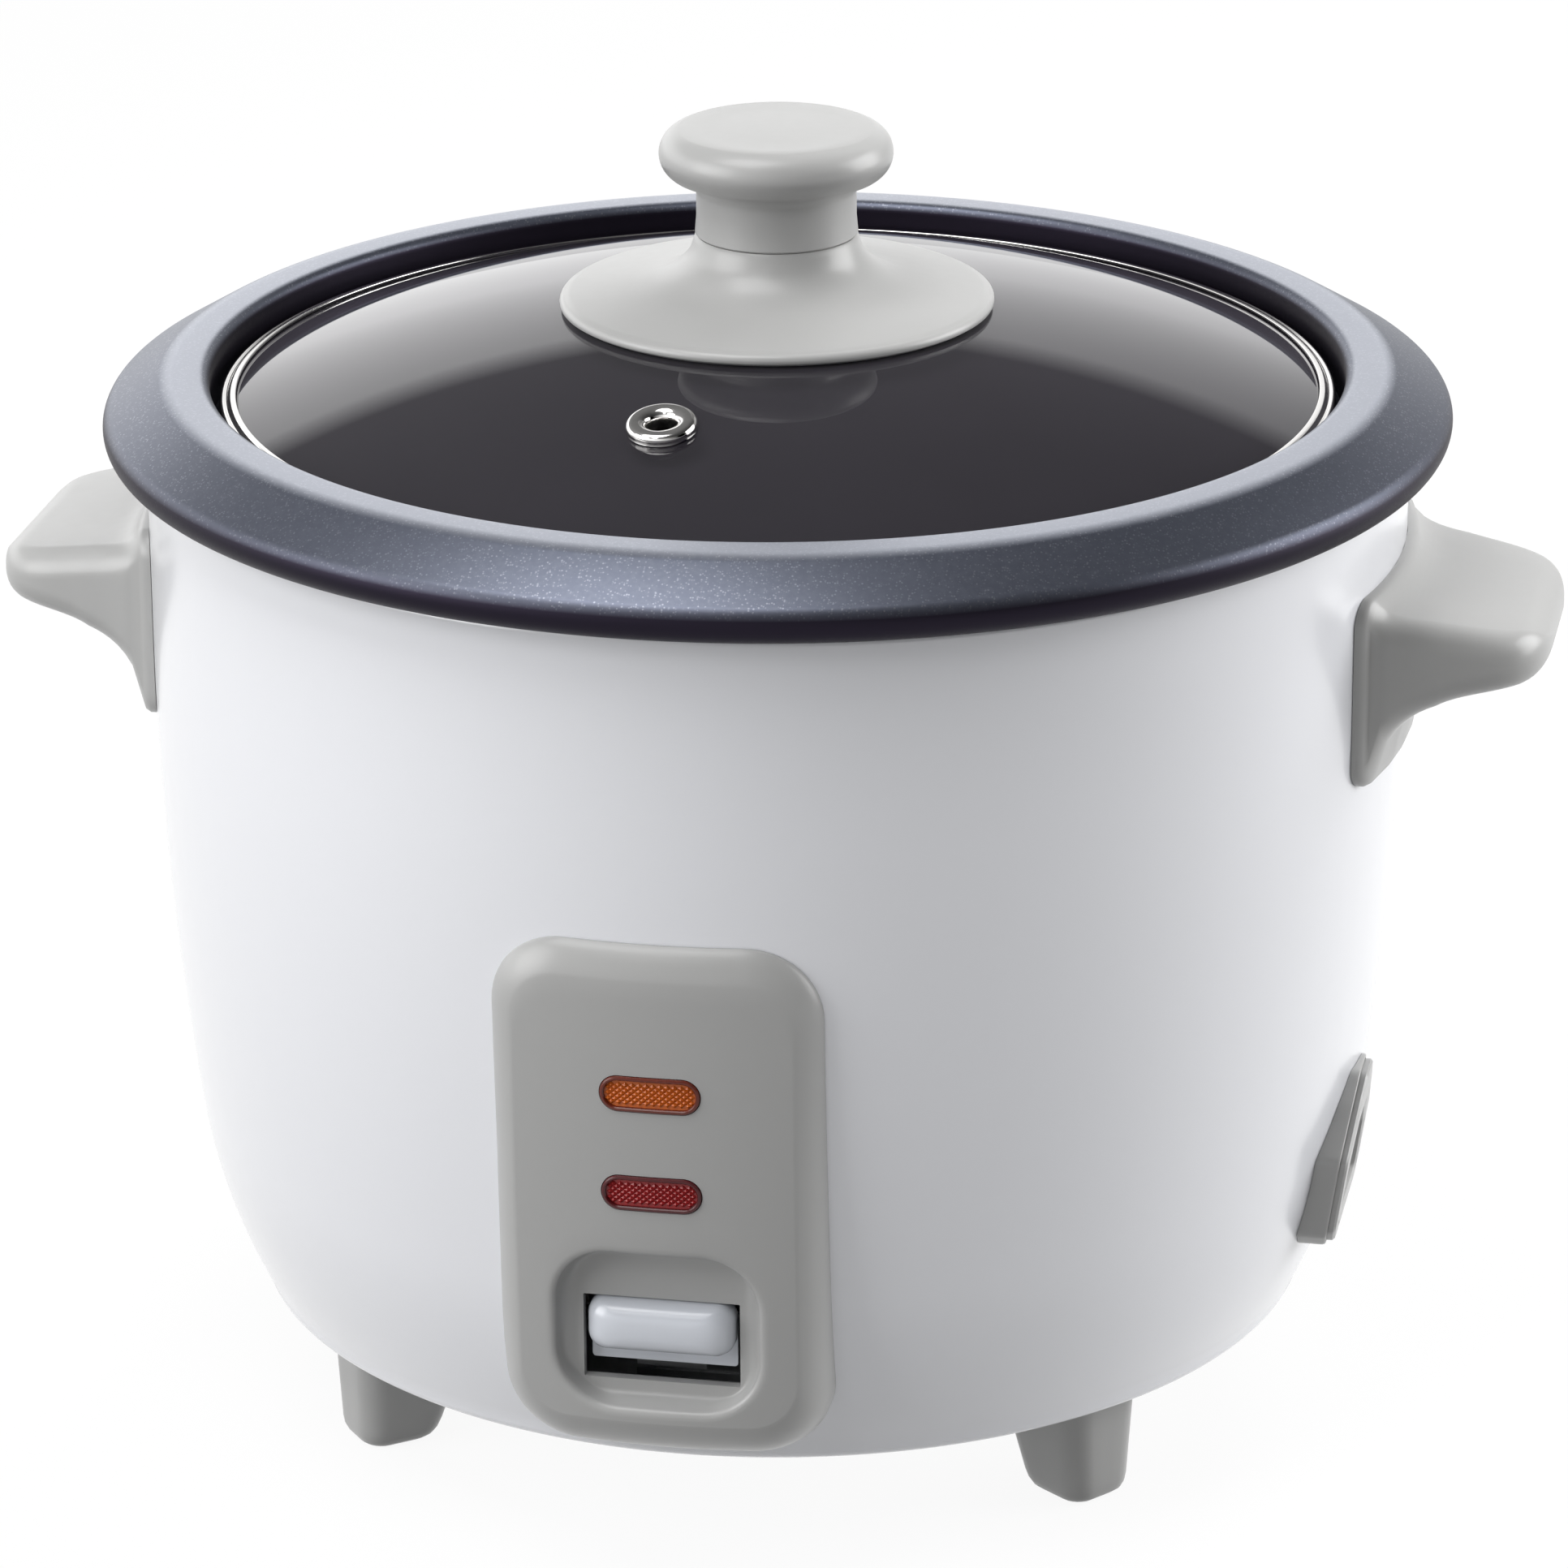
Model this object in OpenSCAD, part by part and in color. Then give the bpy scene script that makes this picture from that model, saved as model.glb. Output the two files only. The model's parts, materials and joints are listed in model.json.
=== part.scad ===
// Household rice cooker with a lift-out pot, a glass lid and a sprung cook lever.
// +Z is up, the control panel faces -Y, and the origin is on the floor under the pot's axis.

/* [Housing] */
// Outer radius of the housing at its widest
housing_r = 110.2; // [109:0.1:111]
// Height of the housing's top lip above the floor
housing_top_z = 176; // [175:0.5:176]
// Height of the housing's lower edge above the floor
housing_low_z = 21.6; // [20:0.2:23]
// Thickness of the painted steel
sheet_t = 1; // [0.8:0.1:1.2]
// Radius of the housing's long side bow
side_bow_r = 620; // [560:10:700]
// Radius of the tighter curve at the housing's foot
toe_bow_r = 99; // [90:1:120]

/* [Inner pot] */
// Inside radius of the pot's wall
pot_r = 93.5; // [92:0.1:94]
// Thickness of the pot's wall
pot_t = 1.6; // [1.2:0.1:1.8]
// Height of the pot's underside
pot_low_z = 66.3; // [66.3:0.1:68]
// Radius of the rolled flange
flange_r = 117.6; // [116:0.1:119]
// Radius of the crease between the flange's top ring and its slope
crease_r = 106.6; // [105:0.1:108]
// Radius of the collar that the lid drops into
collar_r = 98.9; // [98.5:0.1:99.2]

/* [Lid] */
// Outer radius of the lid's steel band
lid_r = 97.3; // [96:0.1:97.8]
// Height of the glass at the middle of its top face
glass_top_z = 201.2; // [200:0.1:202]
// Radius of the glass dome's top face
dome_r = 271; // [260:1:290]
// Thickness of the glass
glass_t = 4; // [3.5:0.1:4.5]
// Distance of the steam hole from the lid's axis
vent_off = 60.5; // [50:0.5:70]
// Radius of the knob's disc
knob_r = 20.3; // [18:0.1:24]
// Radius of the skirt under the knob
skirt_r = 37.8; // [34:0.1:42]

/* [Handles] */
// Half the length of the cooker over its handles
handle_tip = 137.5; // [134:0.5:145]
// Half width of the handle's mounting flange
handle_flange_half = 32; // [30:0.5:34]
// Half width of the grip
grip_half = 27.5; // [24:0.5:29]

/* [Control panel] */
// Width of the control panel
panel_w = 56; // [52:0.5:60]
// Height of the panel's top edge
panel_top_z = 122; // [118:0.5:124]
// Width of an indicator lens
lens_w = 17.2; // [14:0.2:20]
// Height of an indicator lens
lens_h = 6.5; // [5:0.1:8]
// Height of the orange lens
warm_lens_z = 96.6; // [94:0.2:99]
// Height of the red lens
cook_lens_z = 78.6; // [76:0.2:81]

/* [Lever] */
// Angle that the cook lever is pressed through
lever_travel = 5; // [4:0.5:5]

/* [Hidden] */
$fn = 96;

gap = 0.3;             // between pieces of different bodies
slip = 0.05;           // radial clearance of a sliding or turning fit
near = 0.1;            // between pieces that are held together
plate_t = 1;           // base plate
floor_z = housing_low_z + sheet_t;
base_top_z = floor_z + plate_t;

// Housing
straight_z = 140;      // the side is upright above this height
toe_start_z = 55;      // the tighter curve starts below this height
top_corner_r = 5;
lip_r = 100;           // inner radius of the top lip
low_lip_r = 88;        // inner radius of the lower lip
profile_steps = 20;

// Pot
pot_corner_r = 25;
ledge_z = 178.1;
collar_top_z = 188;
flange_top_z = 188.8;
curl_r = 3.7;
curl_z = 180.2;

// Lid
dome_cz = glass_top_z - dome_r;
glass_r = lid_r - 1.5;
glass_hole_r = 4;
vent_az = -97.5;
vent_hole_r = 3.4;
eyelet_r = 6;
skirt_edge_z = 200.9;
skirt_neck_z = 211.7;
neck_r = 14.2;
knob_top_z = 230.5;
screw_r = 2.5;

// Handles
handle_z = 143.5;      // middle of the mounting flange
flange_h = 34;
boss_y = 14;
handle_screw_z = 147;
small_screw_r = 1.5;

// Control panel
panel_t = 2.2;
panel_corner_r = 13;
pocket_z = 52.5;
pocket_w = 34.6;
pocket_h = 29;
pocket_floor_y = -106;
window_w = 26.8;
window_h = 15.2;
window_z = 49;
panel_low_z = 27;
panel_screws_at = [[33, 101.5], [114, 111.6]];   // height and reach of each screw
opening_half = 20.5;
opening_low_z = 37;
opening_high_z = 108;

// Mechanism under the pot
plate_r = 70;
plate_low_z = 52;
plate_top_z = pot_low_z - gap;
sensor_hole_r = 18;
cap_r = 16.5;
cap_wall = 0.9;
cap_low_z = 56;
core_low_z = 61.5;
sleeve_r = 14.4;
sleeve_low_z = 46.9;
element_ring_r = 38;
element_r = 3.5;
element_z = 54;
post_ring_r = 50;
post_r = 4;
pivot_y = -50;
pivot_z = 40;
pin_r = 2;
arm_top_z = 42;
arm_t = 1.5;
arm_half = 6;
button_y = -62.75;
switch_low_z = base_top_z + 4.4;
rod_r = 2;
magnet_r = 12;
magnet_z = 50.6;
magnet_h = 5;

// Feet
foot_h = floor_z;
foot_ring_r = 79.4;
foot_az = 51.5;
foot_low_r = 7.5;

// Inlet
inlet_y = -11.5;       // middle of the inlet, a little towards the front
inlet_half = 17.5;
inlet_low_z = 39.5;
inlet_h = 27;
socket_half = 12;
socket_low_z = 43.5;
socket_h = 15.5;
inlet_face_x = 102.2;  // the cover's face at its lower edge
inlet_face_lean = 8.7;
bezel_out = 1.5;       // the bezel stands out from the cover by this

white_paint = [0.93, 0.94, 0.96];
grey_plastic = [0.70, 0.71, 0.71];
white_plastic = [0.92, 0.93, 0.96];
coated = [0.27, 0.29, 0.34];
steel = [0.75, 0.76, 0.77];
aluminium = [0.80, 0.81, 0.82];

// ---- outlines ----

// Outer radius of the housing at a height
function housing_at(z) =
    housing_r
    - pow(max(0, straight_z - z), 2) / (2 * side_bow_r)
    - pow(max(0, toe_start_z - z), 2) / (2 * toe_bow_r);

// Points of an arc about (x, z)
function arc(x, z, r, from, to, steps = 8) =
    [for (i = [0 : steps]) let (a = from + (to - from) * i / steps) [x + r * cos(a), z + r * sin(a)]];

// The housing's side from its lower edge to its top corner, moved inward
function side(inward) =
    let (low = housing_low_z, high = housing_top_z - top_corner_r)
    [for (i = [0 : profile_steps])
        let (z = low + (high - low) * i / profile_steps) [housing_at(z) - inward, z]];

function reversed(list) = [for (i = [len(list) - 1 : -1 : 0]) list[i]];

function polar(r, a) = [r * cos(a), r * sin(a)];

// Everything inside the housing's outer face, grown outward
module housing_solid(grow = 0) {
    rotate_extrude()
        polygon(concat([[0, housing_low_z - 1]], [[housing_at(housing_low_z) + grow, housing_low_z - 1]],
                       side(-grow), [[housing_r + grow, housing_top_z], [0, housing_top_z]]));
}

// A rectangle with round corners, about its middle
module round_rect(w, h, r) {
    polygon(concat(arc(w / 2 - r, h / 2 - r, r, 0, 90), arc(r - w / 2, h / 2 - r, r, 90, 180),
                   arc(r - w / 2, r - h / 2, r, 180, 270), arc(w / 2 - r, r - h / 2, r, 270, 360)));
}

// A shape drawn in width and height, pushed back along -Y from y = front
module facing_front(front, depth) {
    translate([0, front + depth, 0]) rotate([90, 0, 0]) linear_extrude(depth) children();
}

// A shape drawn in (y, z), pushed out along +X from x = from
module facing_side(from, depth) {
    translate([from, 0, 0]) rotate([90, 0, 90]) linear_extrude(depth) children();
}

// A tube of round section along a list of points. lean is never along the route.
module swept(points, r, lean, sides = 8) {
    last = len(points) - 1;
    function unit(v) = v / norm(v);
    function heading(i) = unit(points[min(i + 1, last)] - points[max(i - 1, 0)]);
    function ring(i) =
        let (t = heading(i), u = unit(cross(t, lean)), v = cross(t, u))
        [for (k = [0 : sides - 1]) points[i] + r * (cos(360 * k / sides) * u + sin(360 * k / sides) * v)];
    rings = [for (i = [0 : last]) each ring(i)];
    walls = [for (i = [0 : last - 1], k = [0 : sides - 1])
        [i * sides + k, i * sides + (k + 1) % sides,
         (i + 1) * sides + (k + 1) % sides, (i + 1) * sides + k]];
    polyhedron(rings, concat([reversed([for (k = [0 : sides - 1]) k])], walls,
                             [[for (k = [0 : sides - 1]) last * sides + k]]), convexity = 6);
}

// Points of a smooth bend from a to d that leaves towards b and arrives from c
function bend(a, b, c, d, steps = 14) = [for (i = [0 : steps]) let (t = i / steps, u = 1 - t)
    u * u * u * a + 3 * u * u * t * b + 3 * u * t * t * c + t * t * t * d];

// A screw along +Z: its head below z = 0 and its shank above
module screw(r, length, head_r, head_h) {
    translate([0, 0, -head_h]) cylinder(r = head_r, h = head_h);
    cylinder(r = r, h = length);
}

// ---- lid ----

// Places children on the glass's top face at the steam hole, their +Z along the dome's radius
module at_vent() {
    translate([0, 0, dome_cz]) rotate([0, asin(vent_off / dome_r), vent_az])
        translate([0, 0, dome_r]) children();
}

module lid_glass() color([0.45, 0.47, 0.50, 0.5]) difference() {
    intersection() {
        translate([0, 0, dome_cz]) sphere(r = dome_r);
        translate([0, 0, ledge_z]) cylinder(r = glass_r, h = 30);
    }
    translate([0, 0, dome_cz]) sphere(r = dome_r - glass_t);
    translate([0, 0, ledge_z]) cylinder(r = glass_hole_r, h = 30);
    at_vent() translate([0, 0, -10]) cylinder(r = vent_hole_r, h = 20);
}

// A steel band folded over the glass's edge from above and below
module lid_rim_band() color(steel) {
    low = ledge_z + gap;
    inner = lid_r - 2.9;
    rotate_extrude() polygon([
        [inner, low], [lid_r - 0.3, low], [lid_r, low + 0.3], [lid_r, 183.9], [lid_r - 0.5, 184.4],
        [inner, 185], [inner, 184.45], [lid_r - 0.9, 183.95], [lid_r - 0.6, 183.6],
        [lid_r - 0.6, low + 0.6], [inner, low + 0.6]
    ]);
}

module steam_vent_eyelet() color(steel) at_vent() rotate_extrude() polygon(concat(
    [[2.7, -glass_t - 0.9], [eyelet_r - 0.6, -glass_t - 0.9], [eyelet_r - 0.6, -glass_t - near]],
    [[3.2, -glass_t - near], [3.2, near], [eyelet_r, near]],
    arc(eyelet_r - 0.7, 0.9, 0.7, 0, 90), [[4.2, 1.5], [3.2, 1.1]], [[2.7, 0.5]]));

module lid_knob() color(grey_plastic) difference() {
    rotate_extrude() polygon(concat(
        [[0, skirt_neck_z + near], [neck_r, skirt_neck_z + near],
         [neck_r - 0.2, 216], [neck_r, 219.6], [15.2, 221.3]],
        arc(knob_r - 4.3, knob_top_z - 4.4, 4.3, -60, 90, 12), [[8, knob_top_z], [0, knob_top_z]]));
    translate([0, 0, skirt_neck_z - 1]) cylinder(r = screw_r + slip, h = 10);
}

// Height of the glass dome at a radius, at a depth under its top face
function dome_at(r, depth = 0) = dome_cz + sqrt(pow(dome_r - depth, 2) - r * r);

// Height of the skirt's top face at a radius: a bell that runs out almost flat
function skirt_z(r) = skirt_edge_z + 8.2 * pow((skirt_r - r) / (skirt_r - neck_r - 0.6), 3);

module lid_knob_skirt() color(grey_plastic) {
    shell = 2.2;
    bore = screw_r + slip;
    bell = [for (r = [neck_r + 0.6 : 2.32 : skirt_r]) [r, skirt_z(r)]];
    hollow = [for (r = [17 : 2 : 25]) [r, max(skirt_z(r) - shell, dome_at(r) + near)]];
    rotate_extrude() polygon(concat(
        [[bore, dome_at(bore) + near], [bore, skirt_neck_z], [neck_r, skirt_neck_z]],
        bell, [[skirt_r, skirt_edge_z - 0.6]],
        [for (r = [skirt_r - 0.4 : -3 : 26]) [r, dome_at(r) + near]],
        reversed(hollow), [[13, hollow[0][1]], [13, dome_at(13) + near], [8, dome_at(8) + near]]));
}

module lid_knob_washer() color(grey_plastic) {
    bore = screw_r + slip;
    rotate_extrude() polygon(concat(
        [[bore, 188.5], [11, 188.5], [11, 190.6], [14.2, 190.6], [14.2, 193.2], [17, 193.2]],
        [for (r = [17, 12, 7, bore]) [r, dome_at(r, glass_t + near)]]));
}

module lid_knob_screw() color(steel) difference() {
    translate([0, 0, 188.5 - near]) screw(screw_r, 31, 4.6, 2.4);
    translate([0, 0, 185]) cylinder(r = 2, h = 2, $fn = 6);
}

// ---- pot ----

// Outline of the pot's wall: the outer face up, then the inner face down
module inner_pot() color(coated) {
    outer_r = pot_r + pot_t;
    corner = pot_corner_r;
    slope_from = [crease_r, flange_top_z];
    curl_c = [flange_r - curl_r, curl_z];
    under = ledge_z - pot_t;
    rotate_extrude() polygon(concat(
        [[0, pot_low_z]],
        arc(outer_r - corner, pot_low_z + corner, corner, -90, 0, 10),
        [[outer_r, under], [collar_r + pot_t, under], [collar_r + pot_t, collar_top_z - 1],
         [crease_r - 1, flange_top_z - pot_t], [curl_c[0] - 0.2, curl_c[1] + curl_r - pot_t]],
        arc(curl_c[0], curl_c[1], curl_r - pot_t, 60, -150, 12),
        arc(curl_c[0], curl_c[1], curl_r, -150, 59.4, 14),
        [slope_from, [crease_r - 2, flange_top_z + 0.2]],
        arc(collar_r + 2.2, flange_top_z - 1.9, 2.2, 90, 180, 5),
        [[collar_r, ledge_z], [pot_r + 1, ledge_z], [pot_r, ledge_z - 1]],
        arc(outer_r - corner, pot_low_z + corner, corner - pot_t, 0, -90, 10),
        [[0, pot_low_z + pot_t]]));
}

// ---- housing ----

// The opening behind the control panel, made smaller all round by inset
module opening(inset = 0) {
    translate([inset - opening_half, -120, opening_low_z + inset])
        cube([2 * (opening_half - inset), 30, opening_high_z - opening_low_z - 2 * inset]);
}

module outer_housing() color(white_paint) difference() {
    top = housing_top_z;
    corner_x = housing_r - top_corner_r;
    corner_z = top - top_corner_r;
    rotate_extrude() polygon(concat(
        [[low_lip_r, housing_low_z]],
        side(0), arc(corner_x, corner_z, top_corner_r, 0, 90, 6),
        [[lip_r, top], [lip_r, top - sheet_t]],
        arc(corner_x, corner_z, top_corner_r - sheet_t, 90, 0, 6),
        [for (p = reversed(side(sheet_t))) if (p[1] > floor_z + 1) p],
        [[housing_at(floor_z) - sheet_t, floor_z], [low_lip_r, floor_z]]));
    // opening behind the control panel for the lamps and the lever
    opening();
    // opening for the inlet
    facing_side(85, 30) socket_outline(3);
    for (s = [-1, 1], y = [-boss_y, boss_y])
        translate([s * 100, y, handle_screw_z]) rotate([0, s * 90, 0])
            cylinder(r = small_screw_r + slip, h = 20);
    for (at = panel_screws_at)
        translate([0, -90, at[0]]) rotate([90, 0, 0]) cylinder(r = small_screw_r + slip, h = 25);
}

module base_plate() color(steel) difference() {
    translate([0, 0, floor_z]) cylinder(r = 91, h = plate_t);
    // cooling slots in three rings
    for (ring = [26, 36, 74], a = [0 : 30 : 330])
        rotate(a + (ring == 74 ? 15 : 0))
            translate([ring - 1.2, -4, floor_z - 1]) cube([2.4, 8, plate_t + 2]);
    for (p = foot_places()) translate([p[0], p[1], floor_z - 1]) cylinder(r = small_screw_r + slip, h = 4);
    for (a = [90, 210, 330]) translate(concat(polar(post_ring_r, a), floor_z - 1))
        cylinder(r = small_screw_r + slip, h = 4);
}

function foot_places() = [for (sx = [-1, 1], sy = [-1, 1])
    [sx * foot_ring_r * sin(foot_az), sy * foot_ring_r * cos(foot_az)]];

// A foot that widens towards the middle of the cooker, with a recess for its screw
module foot(sx, sy) color(grey_plastic) {
    p = [sx * foot_ring_r * sin(foot_az), sy * foot_ring_r * cos(foot_az)];
    inward = -p / norm(p);
    difference() {
        hull() {
            translate([p[0], p[1], 0]) cylinder(r = foot_low_r - 1.8, h = 1, $fn = 32);
            translate([p[0], p[1], 2.4]) cylinder(r = foot_low_r, h = 1, $fn = 32);
            translate([p[0], p[1], foot_h - 1]) cylinder(r = foot_low_r + 0.9, h = 1, $fn = 32);
            translate([p[0] + 9 * inward[0], p[1] + 9 * inward[1], foot_h - 1])
                cylinder(r = foot_low_r + 0.9, h = 1, $fn = 32);
        }
        translate([p[0], p[1], -1]) cylinder(r = 3.6, h = 9);
        translate([p[0], p[1], -1]) cylinder(r = small_screw_r + slip, h = foot_h + 2);
    }
}

module foot_front_left() foot(-1, -1);
module foot_front_right() foot(1, -1);
module foot_rear_left() foot(-1, 1);
module foot_rear_right() foot(1, 1);

module foot_screws() color(steel)
    for (p = foot_places()) translate([p[0], p[1], 8]) screw(small_screw_r, base_top_z - 6, 3, 2);

// Screws from below into the posts of the heating plate
module base_screws() color(steel)
    for (a = [90, 210, 330])
        translate(concat(polar(post_ring_r, a), floor_z)) screw(small_screw_r, 9, 3, 1.6);

// ---- handles ----

// The right handle: a flange on the housing and a hollow grip that tapers to a round tip
module handle_solid() {
    top = [[100, 158.5]];
    underside = [[128.5, 143.3], [123.5, 141.5], [119, 139.2], [115.8, 136.6], [113.3, 133.4],
                 [111.4, 129.9], [110.2, 126.9], [100, 126.8]];
    // plan of the grip: an oval with full corners
    reach = handle_tip - 112;
    plan = [for (a = [-84 : 7 : 84])
        [112 + reach * pow(cos(a), 0.5), grip_half * sign(a) * pow(abs(sin(a)), 0.5)]];
    difference() {
        union() {
            // flange that follows the housing
            intersection() {
                translate([0, 0, handle_z]) facing_side(90, 30)
                    round_rect(2 * handle_flange_half, flange_h, 4.5);
                housing_solid(2.4);
            }
            // grip: its side outline cut to its plan outline
            intersection() {
                translate([0, handle_flange_half, 0])
                    rotate([90, 0, 0]) linear_extrude(2 * handle_flange_half)
                    polygon(concat(top, arc(handle_tip - 5, 148.6, 5, 80, -68, 9), underside));
                translate([0, 0, 100]) linear_extrude(80)
                    polygon(concat([[100, -grip_half - 2]], plan, [[100, grip_half + 2]]));
            }
        }
        housing_solid(near);
        // hollow of the grip, open to the housing, round the two screw bosses
        difference() {
            translate([0, grip_half - 3, 0]) rotate([90, 0, 0]) linear_extrude(2 * (grip_half - 3))
                polygon([[100, 139], [112, 140], [127, 145.6], [127, 151.4], [100, 155.5]]);
            for (y = [-boss_y, boss_y])
                translate([100, y, handle_screw_z]) rotate([0, 90, 0]) cylinder(r = 4, h = 40);
        }
        for (y = [-boss_y, boss_y])
            translate([100, y, handle_screw_z]) rotate([0, 90, 0])
                cylinder(r = small_screw_r + slip, h = 22);
    }
}

module handle_right() color(grey_plastic) handle_solid();
module handle_left() color(grey_plastic) mirror([1, 0, 0]) handle_solid();

module handle_screws() color(steel)
    for (s = [-1, 1], y = [-boss_y, boss_y])
        translate([s * 107.5, y, handle_screw_z]) rotate([0, s * 90, 0]) screw(small_screw_r, 12, 3, 2);

// ---- control panel ----

// Radius of the panel's front face at a height
function panel_at(z) = 113.6 - pow(max(0, 118 - z), 2) / (2 * 1100);

// The space between the housing and the panel's front, set back by inset
module panel_bulk(inset) {
    intersection() {
        translate([0, 0, (panel_low_z + panel_top_z) / 2])
            facing_front(-125, 45)
                round_rect(panel_w - 2 * inset, panel_top_z - panel_low_z - 2 * inset,
                           panel_corner_r - inset);
        // the front rolls back to the housing above and below
        rotate_extrude() polygon(concat(
            [[0, panel_low_z - 1], [90, panel_low_z + inset - 1], [95, panel_low_z + inset + 0.2]],
            arc(panel_at(38.4) - 7, 38.4, 7 - inset, -85, 0, 6),
            [for (z = [45 : 10 : 105]) [panel_at(z) - inset, z]],
            arc(107.6, 116, 6 - inset, 0, 80, 6), [[0, panel_top_z + 1]]));
    }
}

// A lens opening: a stadium at a height
module lens_outline(z, grow = 0) {
    translate([0, z]) round_rect(lens_w + 2 * grow, lens_h + 2 * grow, lens_h / 2 + grow - 0.01);
}

module control_panel() color(grey_plastic) difference() {
    union() {
        difference() {
            panel_bulk(0);
            panel_bulk(panel_t);
        }
        // walls and floor of the lever's pocket, and the screw bosses
        intersection() {
            union() {
                translate([0, 0, pocket_z]) facing_front(-120, 120 + pocket_floor_y + 2)
                    round_rect(pocket_w + 2 * panel_t, pocket_h + 2 * panel_t, 12);
                for (at = panel_screws_at)
                    translate([0, -90, at[0]]) rotate([90, 0, 0]) cylinder(r = 3.6, h = 25);
            }
            panel_bulk(0);
        }
    }
    difference() {
        housing_solid(near);
        opening(0.2);
    }
    translate([0, 0, pocket_z]) facing_front(-120, 120 + pocket_floor_y) round_rect(pocket_w, pocket_h, 10);
    translate([0, 0, window_z]) facing_front(-120, 20) square([window_w, window_h], center = true);
    for (z = [warm_lens_z, cook_lens_z]) facing_front(-120, 20) lens_outline(z);
    for (at = panel_screws_at)
        translate([0, -90, at[0]]) rotate([90, 0, 0]) cylinder(r = small_screw_r + slip, h = at[1] - 89.5);
}

// A clear lens with a flange behind the panel
module lens(z) {
    front = panel_at(z);
    difference() {
        facing_front(-front - 0.4, 3.4) lens_outline(z, -0.1);
        facing_front(-front + 1, 3) lens_outline(z, -1.3);
    }
}

module lens_keep_warm() color([0.85, 0.40, 0.08]) lens(warm_lens_z);
module lens_cook() color([0.62, 0.08, 0.10]) lens(cook_lens_z);

module lamp(z) translate([-6, -107.2, z]) rotate([0, 90, 0]) cylinder(r = 2.4, h = 12);
module lamp_keep_warm() color([0.9, 0.75, 0.5]) lamp(warm_lens_z);
module lamp_cook() color([0.9, 0.5, 0.5]) lamp(cook_lens_z);

// Board that carries both lamps, standing on the lever's pocket wall side of the opening
module lamp_holder() color([0.30, 0.35, 0.30]) {
    translate([-13, -104.7, 69.3]) cube([26, 1.6, 36]);
    for (z = [warm_lens_z, cook_lens_z], x = [-9, 6.2]) translate([x, -109.6, z - 3]) cube([2.8, 5, 6]);
}

module panel_screws() color(steel)
    for (at = panel_screws_at) {
        seat = housing_at(at[0] - 3.5) - sheet_t - gap;
        translate([0, -seat, at[0]]) rotate([90, 0, 0]) screw(small_screw_r, at[1] - seat, 3, 2);
    }

// ---- heat shield and heaters ----

module heat_shield() {
    t = 0.6;
    c = [pot_r + pot_t - pot_corner_r, pot_low_z + pot_corner_r];
    wide = pot_corner_r + 4;
    low_r = 73;
    top = housing_top_z - sheet_t - near;
    function start(x, r) = -acos((x - c[0]) / r);
    color(aluminium) rotate_extrude() polygon(concat(
        [[64, 50], [low_r + t, 50]],
        arc(c[0], c[1], wide + t, start(low_r + t, wide + t), 0, 10),
        [[c[0] + wide + t, top - t], [105, top - t], [105, top], [c[0] + wide, top]],
        arc(c[0], c[1], wide, 0, start(low_r, wide), 10),
        [[low_r, 50 + t], [64, 50 + t]]));
}

// Keep-warm heater: a flat band round the shield
module warm_heater() color([0.78, 0.70, 0.50]) {
    r = pot_r + pot_t + 4 + 0.6 + near;
    translate([0, 0, 100]) difference() {
        cylinder(r = r + 1.2, h = 22);
        translate([0, 0, -1]) cylinder(r = r, h = 24);
    }
}

module heating_plate() color(aluminium) difference() {
    translate([0, 0, plate_low_z]) cylinder(r = plate_r, h = plate_top_z - plate_low_z);
    translate([0, 0, plate_low_z - 1]) cylinder(r = sensor_hole_r, h = 20);
    // groove that holds the element
    translate([0, 0, element_z]) rotate_extrude()
        translate([element_ring_r, 0]) circle(r = element_r + slip);
    translate([0, 0, plate_low_z - 1]) difference() {
        cylinder(r = element_ring_r + 2.9, h = 3);
        translate([0, 0, -1]) cylinder(r = element_ring_r - 2.9, h = 5);
    }
}

// Open ring of tube with its two ends turned down to the terminals
module heating_element() color([0.45, 0.44, 0.42]) {
    translate([0, 0, element_z]) rotate([0, 0, 120]) rotate_extrude(angle = 300)
        translate([element_ring_r, 0]) circle(r = element_r);
    for (a = [60, 120]) translate(concat(polar(element_ring_r, a), 0)) {
        translate([0, 0, element_z - 10]) cylinder(r = element_r - 0.8, h = 10);
        translate([0, 0, 40]) cylinder(r = 1.4, h = 5);
    }
}

module plate_posts() color(steel)
    for (a = [90, 210, 330]) translate(concat(polar(post_ring_r, a), 0)) difference() {
        translate([0, 0, base_top_z]) cylinder(r = post_r, h = plate_low_z - base_top_z);
        translate([0, 0, base_top_z - 1]) cylinder(r = small_screw_r + slip, h = 12);
    }

// ---- thermostat ----

module sensor_cap() color(aluminium) difference() {
    translate([0, 0, cap_low_z]) cylinder(r = cap_r, h = plate_top_z - cap_low_z);
    translate([0, 0, cap_low_z - 1]) cylinder(r = cap_r - cap_wall, h = plate_top_z - cap_low_z + 0.2);
}

// Soft magnetic core under the cap
module sensor_core() color([0.35, 0.35, 0.38])
    translate([0, 0, core_low_z]) cylinder(r = 12.5, h = plate_top_z - 0.8 - core_low_z);

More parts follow.
